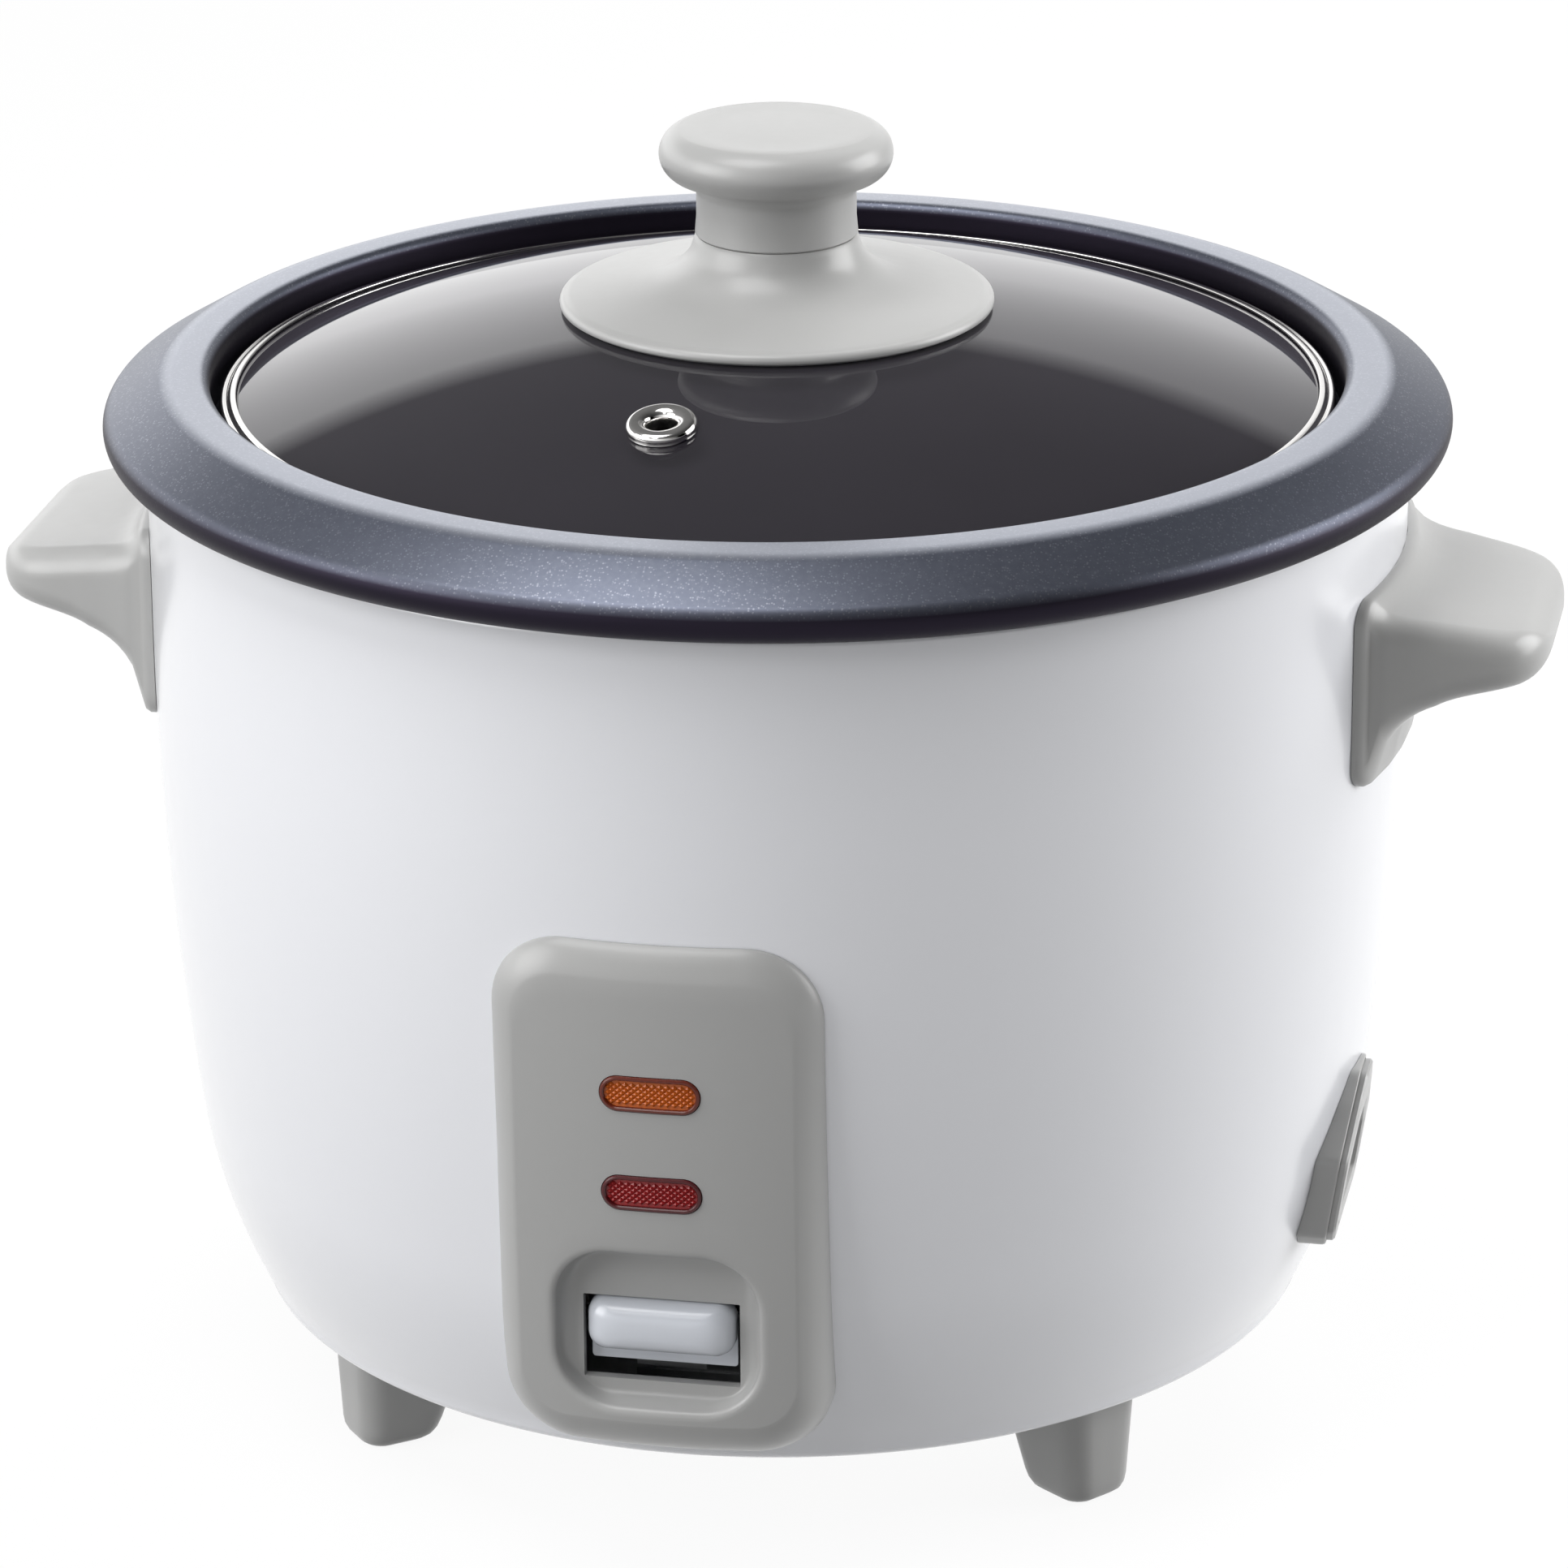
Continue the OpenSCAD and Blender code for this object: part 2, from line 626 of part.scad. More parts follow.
// Fixed tube that guides the magnet, on three arms to the posts
module thermostat_sleeve() color(steel) difference() {
    union() {
        translate([0, 0, sleeve_low_z]) cylinder(r = sleeve_r, h = 60 - sleeve_low_z);
        translate([0, 0, sleeve_low_z]) cylinder(r = 17.4, h = 1.5);
        for (a = [90, 210, 330]) rotate(a) {
            translate([10, -4, sleeve_low_z]) cube([post_ring_r - 10, 8, 1.5]);
            translate([post_ring_r, 0, sleeve_low_z]) cylinder(r = 7, h = 1.5);
        }
    }
    translate([0, 0, sleeve_low_z + 1.5]) cylinder(r = sleeve_r - 1, h = 40);
    translate([0, 0, sleeve_low_z - 1]) cylinder(r = rod_r + slip, h = 5);
    for (a = [90, 210, 330]) rotate(a) translate([post_ring_r, 0, sleeve_low_z - 1])
        cylinder(r = post_r + slip, h = 4);
}

spring_low_z = sleeve_low_z + 2.2;
spring_high_z = cap_low_z - 0.7;
spring_turns = 4;

module sensor_spring() color(steel)
    swept([for (i = [0 : 20 * spring_turns]) let (a = 18 * i)
           concat(polar(cap_r - 0.5, a),
                  spring_low_z + (spring_high_z - spring_low_z) * i / (20 * spring_turns))],
          0.45, [0, 0, 1], 6);

module drop_magnet() color([0.30, 0.30, 0.33]) difference() {
    translate([0, 0, magnet_z]) cylinder(r = magnet_r, h = magnet_h);
    translate([0, 0, magnet_z - 1]) cylinder(r = 1.2 + slip, h = magnet_h + 2);
}

// Rod with a shoulder under the magnet and a thinner end through it
module magnet_rod() color(steel) {
    translate([0, 0, arm_top_z + 0.4]) cylinder(r = rod_r, h = magnet_z - arm_top_z - 0.4 - near);
    translate([0, 0, arm_top_z + 0.4]) cylinder(r = 1.2, h = magnet_z + magnet_h - arm_top_z - 0.4);
}

module thermal_fuse() color([0.85, 0.82, 0.72]) {
    translate([-58, 20, plate_low_z - 2]) rotate([0, 90, 0]) cylinder(r = 1.8, h = 15);
    translate([-53, 17.6, plate_low_z - 4.4]) difference() {
        cube([6, 4.8, 4.4]);
        translate([-1, 2.4, 2.4]) rotate([0, 90, 0]) cylinder(r = 1.8 + slip, h = 8);
    }
}

// ---- lever and switch ----

// White paddle in the panel's window, with a leg down to the arm
module lever_paddle() color(white_plastic) {
    intersection() {
        facing_side(-12.7, 25.4) polygon(concat(
            [[-103, 47.4], [-107.6, 47.2]], arc(-107.4, 49.4, 2.2, -95, -170, 4),
            [[-109.4, 52], [-108.6, 54.4], [-107.2, 56], [-105.8, 56.4], [-103, 56.4]]));
        translate([0, 0, 52.8]) facing_front(-112, 12) round_rect(25.4, 11.4, 2.4);
    }
    // skirt under the key, then the foot that stands on the arm
    translate([-12.5, -103.4, arm_top_z + 2]) cube([25, 2.5, 9]);
    translate([-arm_half, -101, arm_top_z + 2]) cube([2 * arm_half, 13, 2.2]);
    translate([-arm_half, -96, arm_top_z]) cube([2 * arm_half, 8, 3]);
}

// Steel arm with the hub that turns on the pin
module lever_arm() color(steel) difference() {
    union() {
        translate([-arm_half, -98, arm_top_z - arm_t]) cube([2 * arm_half, 100.5, arm_t]);
        translate([-9, pivot_y, pivot_z]) rotate([0, 90, 0]) cylinder(r = 3.8, h = 18);
    }
    translate([-10, pivot_y, pivot_z]) rotate([0, 90, 0]) cylinder(r = pin_r + slip, h = 20);
}

module lever_pin() color(steel)
    translate([-14.5, pivot_y, pivot_z]) rotate([0, 90, 0]) cylinder(r = pin_r, h = 29);

// Fork for the lever's pin, with a step that the switch stands on
module lever_bracket() color(steel) difference() {
    union() {
        translate([-13, button_y - 4, base_top_z]) cube([26, 22, 1.2]);
        translate([-10, button_y - 3.25, base_top_z]) cube([20, 6.5, switch_low_z - base_top_z]);
        for (x = [-13, 11]) translate([x, pivot_y - 4.5, base_top_z])
            cube([2, 9, pivot_z + 4 - base_top_z]);
    }
    translate([-15, pivot_y, pivot_z]) rotate([0, 90, 0]) cylinder(r = pin_r, h = 30);
}

module microswitch() color([0.12, 0.12, 0.13]) difference() {
    union() {
        translate([-10, button_y - 3.25, switch_low_z]) cube([20, 6.5, 9.6]);
        for (x = [-12.6, 10]) translate([x, button_y - 0.5, switch_low_z + 2.6]) cube([2.6, 1, 3.2]);
    }
    translate([0, button_y, switch_low_z + 4.5]) cylinder(r = 1.5 + slip, h = 12);
}

module switch_button() color([0.75, 0.15, 0.12]) {
    low = switch_low_z + 6.8;
    translate([0, button_y, low]) cylinder(r = 1.5, h = arm_top_z - arm_t - gap - low);
}

// ---- power inlet ----

// Everything beyond the cover's leaning face, moved out by a distance
module beyond_face(out) {
    translate([inlet_face_x + out, -50, inlet_low_z]) rotate([0, inlet_face_lean, 0])
        translate([0, 0, -20]) cube([40, 100, 80]);
}

// The cover's outline in (y, z), with cut corners above, made smaller all round by inset
module inlet_outline(inset) {
    low = inlet_low_z + inset;
    high = inlet_low_z + inlet_h - inset;
    half = inlet_half - inset;
    translate([inlet_y, 0]) polygon([
        [-half, low + 3], [3 - half, low], [half - 3, low], [half, low + 3],
        [half, high - 14], [half - 8, high - 4.5], [half - 13, high],
        [13 - half, high], [8 - half, high - 4.5], [-half, high - 14]
    ]);
}

// The socket's outline in (y, z), with two cut corners above, made larger all round by out
module socket_outline(out) {
    low = socket_low_z - out;
    high = socket_low_z + socket_h + out;
    half = socket_half + out;
    cut = 7 + 0.6 * out;
    translate([inlet_y, 0]) polygon([
        [-half, low], [half, low], [half, high - cut],
        [half - cut, high], [cut - half, high], [-half, high - cut]
    ]);
}

module power_inlet() color(grey_plastic) difference() {
    union() {
        // cover on the housing, and the bezel that stands out from it
        for (step = [[0, 0], [1.5, bezel_out]]) difference() {
            facing_side(85, 30) inlet_outline(step[0]);
            housing_solid(near);
            beyond_face(step[1]);
        }
        // socket body, through the housing
        difference() {
            facing_side(89, 20) socket_outline(2.2);
            beyond_face(bezel_out);
        }
    }
    facing_side(91, 30) socket_outline(0);
    for (y = [-7, 0, 7]) translate([80, inlet_y + y - 1.1, inlet_pin_z(y) - 2.1]) cube([15, 2.2, 4.2]);
}

function inlet_pin_z(y) = y == 0 ? 53.6 : 51;

module inlet_pins() color(steel)
    for (y = [-7, 0, 7]) translate([84, inlet_y + y - 1, inlet_pin_z(y) - 2]) cube([16, 2, 4]);

// Spring clip round the socket body, behind the housing
module inlet_clip() color(steel) difference() {
    translate([93, inlet_y - socket_half - 5, socket_low_z - 4.5])
        cube([1.2, 2 * socket_half + 10, socket_h + 9]);
    facing_side(92, 4) socket_outline(2.2 + slip);
}

// Leads from the inlet to the switch and to the heating element
module internal_leads() color([0.85, 0.85, 0.82]) {
    swept(bend([82.5, inlet_y - 7, 51], [66, -22, 22], [52, -62, 22], [13.8, -63, 32.2]),
          1.1, [0.3, -0.5, 1]);
    swept(bend([82.5, inlet_y + 7, 51], [62, 16, 20], [22, 34, 20], [19.1, 33, 39.2]), 1.1, [0.2, 1, 0.2]);
    swept(bend([-13.8, -63, 32.2], [-40, -60, 26], [-30, 30, 24], [-19.1, 33, 39.2]), 1.1, [-0.3, 0, 1]);
}

lid_glass();
lid_rim_band();
steam_vent_eyelet();
lid_knob();
lid_knob_skirt();
lid_knob_washer();
lid_knob_screw();
inner_pot();
outer_housing();
base_plate();
foot_front_left();
foot_front_right();
foot_rear_left();
foot_rear_right();
foot_screws();
base_screws();
handle_left();
handle_right();
handle_screws();
control_panel();
lens_keep_warm();
lens_cook();
lamp_keep_warm();
lamp_cook();
lamp_holder();
panel_screws();
heat_shield();
warm_heater();
heating_plate();
heating_element();
plate_posts();
sensor_cap();
sensor_core();
thermostat_sleeve();
sensor_spring();
drop_magnet();
magnet_rod();
thermal_fuse();
lever_paddle();
lever_arm();
lever_pin();
lever_bracket();
microswitch();
switch_button();
power_inlet();
inlet_pins();
inlet_clip();
internal_leads();
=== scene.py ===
"""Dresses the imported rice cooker: moulded skins, coated pot, glass lid, finishes, lamps, camera.

Lengths are written in millimetres and become metres when a mesh is made. +Z is up, the control
panel faces -Y, and the right handle and the power inlet are on +X.
"""

import json
import logging
import math
from dataclasses import dataclass
from enum import Enum
from typing import Callable, Optional, Sequence, Union

import bmesh
import bpy
from mathutils import Matrix, Quaternion, Vector


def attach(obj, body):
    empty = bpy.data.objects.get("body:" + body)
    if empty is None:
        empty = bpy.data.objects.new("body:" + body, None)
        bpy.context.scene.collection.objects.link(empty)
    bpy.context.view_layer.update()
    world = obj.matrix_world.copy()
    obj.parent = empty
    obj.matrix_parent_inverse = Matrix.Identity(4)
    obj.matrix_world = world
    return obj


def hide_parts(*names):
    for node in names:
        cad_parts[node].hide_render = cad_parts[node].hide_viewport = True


LOG = logging.getLogger("rice_cooker")
MM = 0.001
SHARP = 35.0
WELD = 1e-4
Point2 = tuple[float, float]
Point3 = tuple[float, float, float]
Box = tuple[float, float, float, float]
Steps = tuple[Point2, ...]
Colour = tuple[float, float, float]

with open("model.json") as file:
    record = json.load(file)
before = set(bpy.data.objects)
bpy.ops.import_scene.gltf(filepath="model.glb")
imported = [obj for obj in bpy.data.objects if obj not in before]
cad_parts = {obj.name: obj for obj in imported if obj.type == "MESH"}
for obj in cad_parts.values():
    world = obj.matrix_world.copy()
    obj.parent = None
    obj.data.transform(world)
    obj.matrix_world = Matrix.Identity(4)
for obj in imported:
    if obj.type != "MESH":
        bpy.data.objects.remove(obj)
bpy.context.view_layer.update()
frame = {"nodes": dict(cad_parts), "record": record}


# ---------------------------------------------------------------- shader graphs


class Num:
    """A number flowing through a shader graph, so that maths reads as an expression."""

    def __init__(self, graph: "Graph", socket: bpy.types.NodeSocket) -> None:
        """Wraps a node's output socket."""
        self.graph = graph
        self.socket = socket

    def _math(self, kind: str, *values: Union["Num", float]) -> "Num":
        """Adds one Math node.

        Args:
            kind: the node's operation.
            values: its operands, in order.

        Returns:
            The result as a new Num.
        """
        node = self.graph.add("ShaderNodeMath", {"operation": kind}, dict(enumerate(values)))
        return Num(self.graph, node.outputs[0])

    def __add__(self, other: Union["Num", float]) -> "Num":
        """Sum."""
        return self._math("ADD", self, other)

    __radd__ = __add__

    def __mul__(self, other: Union["Num", float]) -> "Num":
        """Product."""
        return self._math("MULTIPLY", self, other)

    __rmul__ = __mul__

    def __sub__(self, other: Union["Num", float]) -> "Num":
        """Difference."""
        return self._math("SUBTRACT", self, other)

    def __rsub__(self, other: Union["Num", float]) -> "Num":
        """Reflected difference, such as 1 - mask."""
        return self._math("SUBTRACT", other, self)

    def __pow__(self, other: Union["Num", float]) -> "Num":
        """Power."""
        return self._math("POWER", self, other)

    def sine(self) -> "Num":
        """Sine of the number, in radians."""
        return self._math("SINE", self)

    def size(self) -> "Num":
        """The number without its sign."""
        return self._math("ABSOLUTE", self)

    def least(self, other: Union["Num", float]) -> "Num":
        """The smaller of two numbers."""
        return self._math("MINIMUM", self, other)

    def most(self, other: Union["Num", float]) -> "Num":
        """The larger of two numbers."""
        return self._math("MAXIMUM", self, other)

    def clipped(self) -> "Num":
        """The number held between 0 and 1."""
        return self.least(1.0).most(0.0)


Value = Union[Num, bpy.types.NodeSocket, float, Sequence[float]]


class Graph:
    """A node tree with one shader at its end."""

    def __init__(
        self,
        name: str,
        tree: Optional[bpy.types.NodeTree] = None,
        shader: str = "ShaderNodeBsdfPrincipled",
        out: str = "ShaderNodeOutputMaterial",
    ) -> None:
        """Empties a tree, or makes an empty material, and ends it with a shader.

        Args:
            name: the material's name.
            tree: the tree to fill, or None for a new material's.
            shader: the end shader's type.
            out: the output node's type.
        """
        self.material: Optional[bpy.types.Material] = None
        if tree is None:
            self.material = bpy.data.materials.new(name)
            self.material.use_nodes = True
            tree = self.material.node_tree
        self.nodes, self.links = tree.nodes, tree.links
        self.nodes.clear()
        self.shader = self.add(shader, {}, {})
        self.out = self.add(out, {}, {0: self.shader.outputs[0]})

    def add(
        self, kind: str, settings: dict[str, object], inputs: dict[Union[str, int], Value]
    ) -> bpy.types.Node:
        """Adds a node: its settings first, then the values or links of its sockets.

        Args:
            kind: Blender's type name of the node.
            settings: attributes to set.
            inputs: socket name or number to a value or a link.

        Returns:
            The new node.
        """
        node = self.nodes.new(kind)
        for key, value in settings.items():
            setattr(node, key, value)
        for key, value in inputs.items():
            self.feed(node.inputs[key], value)
        return node

    def feed(self, socket: bpy.types.NodeSocket, value: Value) -> None:
        """Links a socket, or sets its constant.

        Args:
            socket: the socket to feed.
            value: a Num, an output socket, a number or a tuple.
        """
        if isinstance(value, Num):
            self.links.new(value.socket, socket)
        elif isinstance(value, bpy.types.NodeSocket):
            self.links.new(value, socket)
        else:
            socket.default_value = value

    def place(self, stretch: Point3 = (1.0, 1.0, 1.0)) -> bpy.types.NodeSocket:
        """Object coordinates, stretched along the axes.

        Args:
            stretch: factor along x, y and z.

        Returns:
            The vector socket.
        """
        spot = self.add("ShaderNodeTexCoord", {}, {}).outputs["Object"]
        return self.add("ShaderNodeMapping", {}, {"Vector": spot, "Scale": stretch}).outputs[0]

    def axes(self, vector: bpy.types.NodeSocket) -> list[Num]:
        """The three numbers of a vector."""
        parts = self.add("ShaderNodeSeparateXYZ", {}, {0: vector}).outputs
        return [Num(self, part) for part in parts]

    def noise(
        self, scale: float, detail: float = 2.0, stretch: Point3 = (1.0, 1.0, 1.0)
    ) -> Num:
        """Soft noise from 0 to 1.

        Args:
            scale: features per metre.
            detail: octaves.
            stretch: factor along the axes.

        Returns:
            The noise.
        """
        spot = self.place(stretch)
        inputs = {"Vector": spot, "Scale": scale, "Detail": detail, "Roughness": 0.5}
        return Num(self, self.add("ShaderNodeTexNoise", {}, inputs).outputs["Fac"])

    def mix(self, amount: Value, low: Value, high: Value) -> bpy.types.NodeSocket:
        """A colour between two colours or colour sockets."""
        node = self.add("ShaderNodeMix", {"data_type": "RGBA"}, {0: amount, 6: low, 7: high})
        return node.outputs[2]

    def blend(
        self, amount: Value, low: Sequence[float], high: Sequence[float]
    ) -> bpy.types.NodeSocket:
        """A colour between two given ones: an amount of 0 gives low and 1 gives high."""
        return self.mix(amount, (*low, 1.0), (*high, 1.0))

    def seen_directly(self) -> Num:
        """Tells the rays that show a surface from those that light the cooker.

        Returns:
            1 for camera, mirrored and refracted rays, 0 for the others.
        """
        path = self.add("ShaderNodeLightPath", {}, {}).outputs
        seen = Num(self, path["Is Camera Ray"]).most(Num(self, path["Is Glossy Ray"]))
        return seen.most(Num(self, path["Is Transmission Ray"]))

    def relief(
        self, height: Num, depth_mm: float, strength: float = 1.0
    ) -> bpy.types.NodeSocket:
        """A bumped normal.

        Args:
            height: height from 0 to 1.
            depth_mm: the height of 1, in millimetres.
            strength: share of the bump.

        Returns:
            The normal socket.
        """
        inputs = {"Strength": strength, "Distance": depth_mm * MM, "Height": height}
        return self.add("ShaderNodeBump", {}, inputs).outputs[0]

    def finish(self, **sockets: Value) -> bpy.types.Material:
        """Feeds the shader.

        Args:
            sockets: the shader's socket names with underscores for spaces.

        Returns:
            The finished material.
        """
        for key, value in sockets.items():
            if isinstance(value, tuple) and len(value) == 3:
                value = (*value, 1.0)
            self.feed(self.shader.inputs[key.replace("_", " ")], value)
        return self.material


def dimmed(colour: Colour, share: float) -> Colour:
    """A colour with each channel multiplied by a share."""
    return tuple(channel * share for channel in colour)


def varied(level: float, by: Num, swing: float) -> Num:
    """A number that swings evenly about a level with a noise from 0 to 1."""
    return level - swing / 2 + by * swing


@dataclass(frozen=True)
class Enamel:
    """Stoved gloss enamel on sheet steel."""

    name: str = "white_enamel"
    colour: Colour = (0.85, 0.86, 0.90)
    thin_share: float = 0.985
    tones_per_m: float = 9.0
    roughness: float = 0.30
    swing: float = 0.06
    clouds_per_m: float = 60.0
    peel_mm: float = 0.004
    peel_bump: float = 0.35
    peels_per_m: float = 900.0
    coat: float = 1.0
    coat_roughness: float = 0.18
    coat_ior: float = 1.7

    def material(self) -> bpy.types.Material:
        """Builds the material.

        Returns:
            The material.
        """
        g = Graph(self.name)
        tone = g.noise(self.tones_per_m, 3.0)
        peel = g.noise(self.peels_per_m, 2.0)
        return g.finish(
            Base_Color=g.blend(tone, dimmed(self.colour, self.thin_share), self.colour),
            Roughness=self.roughness + g.noise(self.clouds_per_m) * self.swing,
            Normal=g.relief(peel, self.peel_mm, self.peel_bump),
            Specular_IOR_Level=0.5,
            Coat_Weight=self.coat,
            Coat_Roughness=self.coat_roughness,
            Coat_IOR=self.coat_ior,
        )


@dataclass(frozen=True)
class Moulding:
    """Injection moulded plastic with a fine spark-eroded grain."""

    name: str
    colour: Colour
    roughness: float = 0.36
    grain_mm: float = 0.012
    coat: float = 0.2
    coat_roughness: float = 0.24
    deep_share: float = 0.955
    mottle_share: float = 0.45
    mottles_per_m: float = 420.0
    flows_per_m: float = 22.0
    grains_per_m: float = 2600.0
    grain_bump: float = 0.5
    swing: float = 0.10

    def material(self) -> bpy.types.Material:
        """Builds the material.

        Returns:
            The material.
        """
        g = Graph(self.name)
        grain = g.noise(self.grains_per_m, 2.0)
        mottle = g.noise(self.mottles_per_m, 3.0)
        flow = g.noise(self.flows_per_m, 2.0)
        tone = (mottle * self.mottle_share + flow * (1 - self.mottle_share)).clipped()
        return g.finish(
            Base_Color=g.blend(tone, dimmed(self.colour, self.deep_share), self.colour),
            Roughness=varied(self.roughness, mottle, self.swing),
            Normal=g.relief(grain, self.grain_mm, self.grain_bump),
            Specular_IOR_Level=0.5,
            Coat_Weight=self.coat,
            Coat_Roughness=self.coat_roughness,
        )


@dataclass(frozen=True)
class NonStick:
    """Dark non-stick coating with a fine metal-flake sparkle, with painted light: faces turned down
    are painted near black as painted shade, and flat faces turned up are painted lighter as a
    painted sheen.
    """

    name: str = "flake_coating"
    base: Colour = (0.160, 0.176, 0.224)
    flake: Colour = (0.46, 0.48, 0.54)
    # Painted shade: the near-black colour given to faces turned down.
    under: Colour = (0.015, 0.012, 0.021)
    flakes_per_m: float = 2600.0
    flake_from: float = 0.70
    flake_size: float = 0.60
    clouds_per_m: float = 900.0
    upward_from: float = 0.25
    flat_from: float = 0.88
    metallic: float = 0.9
    flat_metallic: float = 0.5
    roughness: float = 0.49
    upward_roughness: float = 0.37
    swing: float = 0.06
    grain_mm: float = 0.008
    grain_bump: float = 0.4
    grains_per_m: float = 1800.0

    def material(self) -> bpy.types.Material:
        """Builds the material.

        Returns:
            The material.
        """
        g = Graph(self.name)
        inputs = {"Vector": g.place(), "Scale": self.flakes_per_m}
        cells = g.add("ShaderNodeTexVoronoi", {"feature": "F1"}, inputs)
        spot = Num(g, cells.outputs["Distance"])
        colours = g.add("ShaderNodeSeparateColor", {}, {0: cells.outputs["Color"]})
        pick = Num(g, colours.outputs[0])
        chosen = ((pick - self.flake_from) * 4.0).clipped()
        flake = chosen * ((self.flake_size - spot) * 3.0).clipped()
        cloud = g.noise(self.clouds_per_m, 3.0)
        facing = g.axes(g.add("ShaderNodeNewGeometry", {}, {}).outputs["Normal"])[2]
        # Painted shade: the less a face turns up, the nearer its colour goes to the near-black
        # under colour.
        upward = ((facing - self.upward_from) * 1.33).clipped()
        flat = ((facing - self.flat_from) * 9.0).clipped()
        # Painted sheen: flat faces turned up take more of the lighter flake colour.
        amount = (flake * 0.5 + (cloud - 0.42) * 0.22 + flat * 0.8).clipped()
        sheen = g.blend(amount, self.base, self.flake)
        polish = self.roughness - upward * (self.roughness - self.upward_roughness)
        grain = g.noise(self.grains_per_m, 2.0)
        return g.finish(
            Base_Color=g.mix(upward, (*self.under, 1.0), sheen),
            Metallic=self.metallic - flat * (self.metallic - self.flat_metallic),
            Roughness=polish - flake * self.swing + (cloud - 0.5) * self.swing,
            Normal=g.relief(grain, self.grain_mm, self.grain_bump),
            Specular_IOR_Level=0.42,
        )


@dataclass(frozen=True)
class Metal:
    """Bare metal with a fine grain."""

    name: str
    colour: Colour
    roughness: float = 0.22
    stretch: Point3 = (1.0, 1.0, 1.0)
    grain_mm: float = 0.004
    grain_bump: float = 0.4
    grains_per_m: float = 1400.0
    wear_per_m: float = 45.0
    deep_share: float = 0.86
    swing: float = 0.10

    def material(self) -> bpy.types.Material:
        """Builds the material.

        Returns:
            The material.
        """
        g = Graph(self.name)
        grain = g.noise(self.grains_per_m, 3.0, self.stretch)
        worn = g.noise(self.wear_per_m, 2.0)
        tone = (grain * 0.5 + worn * 0.5).clipped()
        return g.finish(
            Base_Color=g.blend(tone, dimmed(self.colour, self.deep_share), self.colour),
            Metallic=1.0,
            Roughness=varied(self.roughness, grain, self.swing),
            Normal=g.relief(grain, self.grain_mm, self.grain_bump),
        )


@dataclass(frozen=True)
class TintedGlass:
    """Toughened glass: dimly clear where it is faced squarely, a mirror at a glancing look."""

    name: str = "smoked_glass"
    colour: Colour = (0.040, 0.037, 0.045)
    pale_share: float = 1.25
    clear: float = 0.24
    edge_gain: float = 2.4
    edge_ior: float = 1.5
    films_per_m: float = 35.0
    roughness: float = 0.015
    swing: float = 0.01
    ior: float = 2.0

    def material(self) -> bpy.types.Material:
        """Builds the material.

        Returns:
            The material.
        """
        g = Graph(self.name)
        edge = Num(g, g.add("ShaderNodeFresnel", {}, {"IOR": self.edge_ior}).outputs[0])
        film = g.noise(self.films_per_m, 2.0)
        g.material.surface_render_method = "BLENDED"
        return g.finish(
            Base_Color=g.blend(film, self.colour, dimmed(self.colour, self.pale_share)),
            Roughness=self.roughness + film * self.swing,
            IOR=self.ior,
            Alpha=(self.clear + edge * self.edge_gain).clipped(),
        )


@dataclass(frozen=True)
class LensPlastic:
    """Transparent coloured plastic over a prism field."""

    name: str
    colour: Colour
    deep: Colour
    roughness: float = 0.22
    swing: float = 0.06
    swirls_per_m: float = 1300.0
    coat: float = 0.12
    coat_roughness: float = 0.08

    def material(self) -> bpy.types.Material:
        """Builds the material.

        Returns:
            The material.
        """
        g = Graph(self.name)
        swirl = g.noise(self.swirls_per_m, 2.0)
        return g.finish(
            Base_Color=g.blend(swirl, self.deep, self.colour),
            Roughness=self.roughness + swirl * self.swing,
            Specular_IOR_Level=0.3,
            Coat_Weight=self.coat,
            Coat_Roughness=self.coat_roughness,
        )


@dataclass(frozen=True)
class Cloth:
    """Woven glass-fibre tape or sleeving."""

    name: str
    colour: Colour
    threads_per_m: float = 1100.0
    roughness: float = 0.85
    deep_share: float = 0.72
    thread_mm: float = 0.12
    thread_bump: float = 0.8

    def material(self) -> bpy.types.Material:
        """Builds the material.

        Returns:
            The material.
        """
        g = Graph(self.name)
        x, y, z = g.axes(g.place((self.threads_per_m,) * 3))
        across = (x + y).sine().size()
        along = z.sine().size()
        weave = (across * along) ** 0.5
        return g.finish(
            Base_Color=g.blend(weave, dimmed(self.colour, self.deep_share), self.colour),
            Roughness=self.roughness,
            Normal=g.relief(weave, self.thread_mm, self.thread_bump),
        )


class Slot(Enum):
    """The record's material slots."""

    GLASS = "tinted_glass"
    BRIGHT = "bright_steel"
    STEEL = "plain_steel"
    GREY = "grey_plastic"
    WHITE = "white_plastic"
    BLACK = "black_plastic"
    RED = "red_plastic"
    COATING = "pot_coating"
    PAINT = "white_paint"
    ORANGE_LENS = "orange_lens"
    RED_LENS = "red_lens"
    LAMP = "lamp_glass"
    BOARD = "circuit_board"
    SHIELD = "shield_aluminium"
    CASTING = "cast_aluminium"
    BAND = "heater_band"
    SHEATH = "element_sheath"
    DARK = "dark_metal"
    CERAMIC = "ceramic"
    SLEEVE = "lead_sleeve"


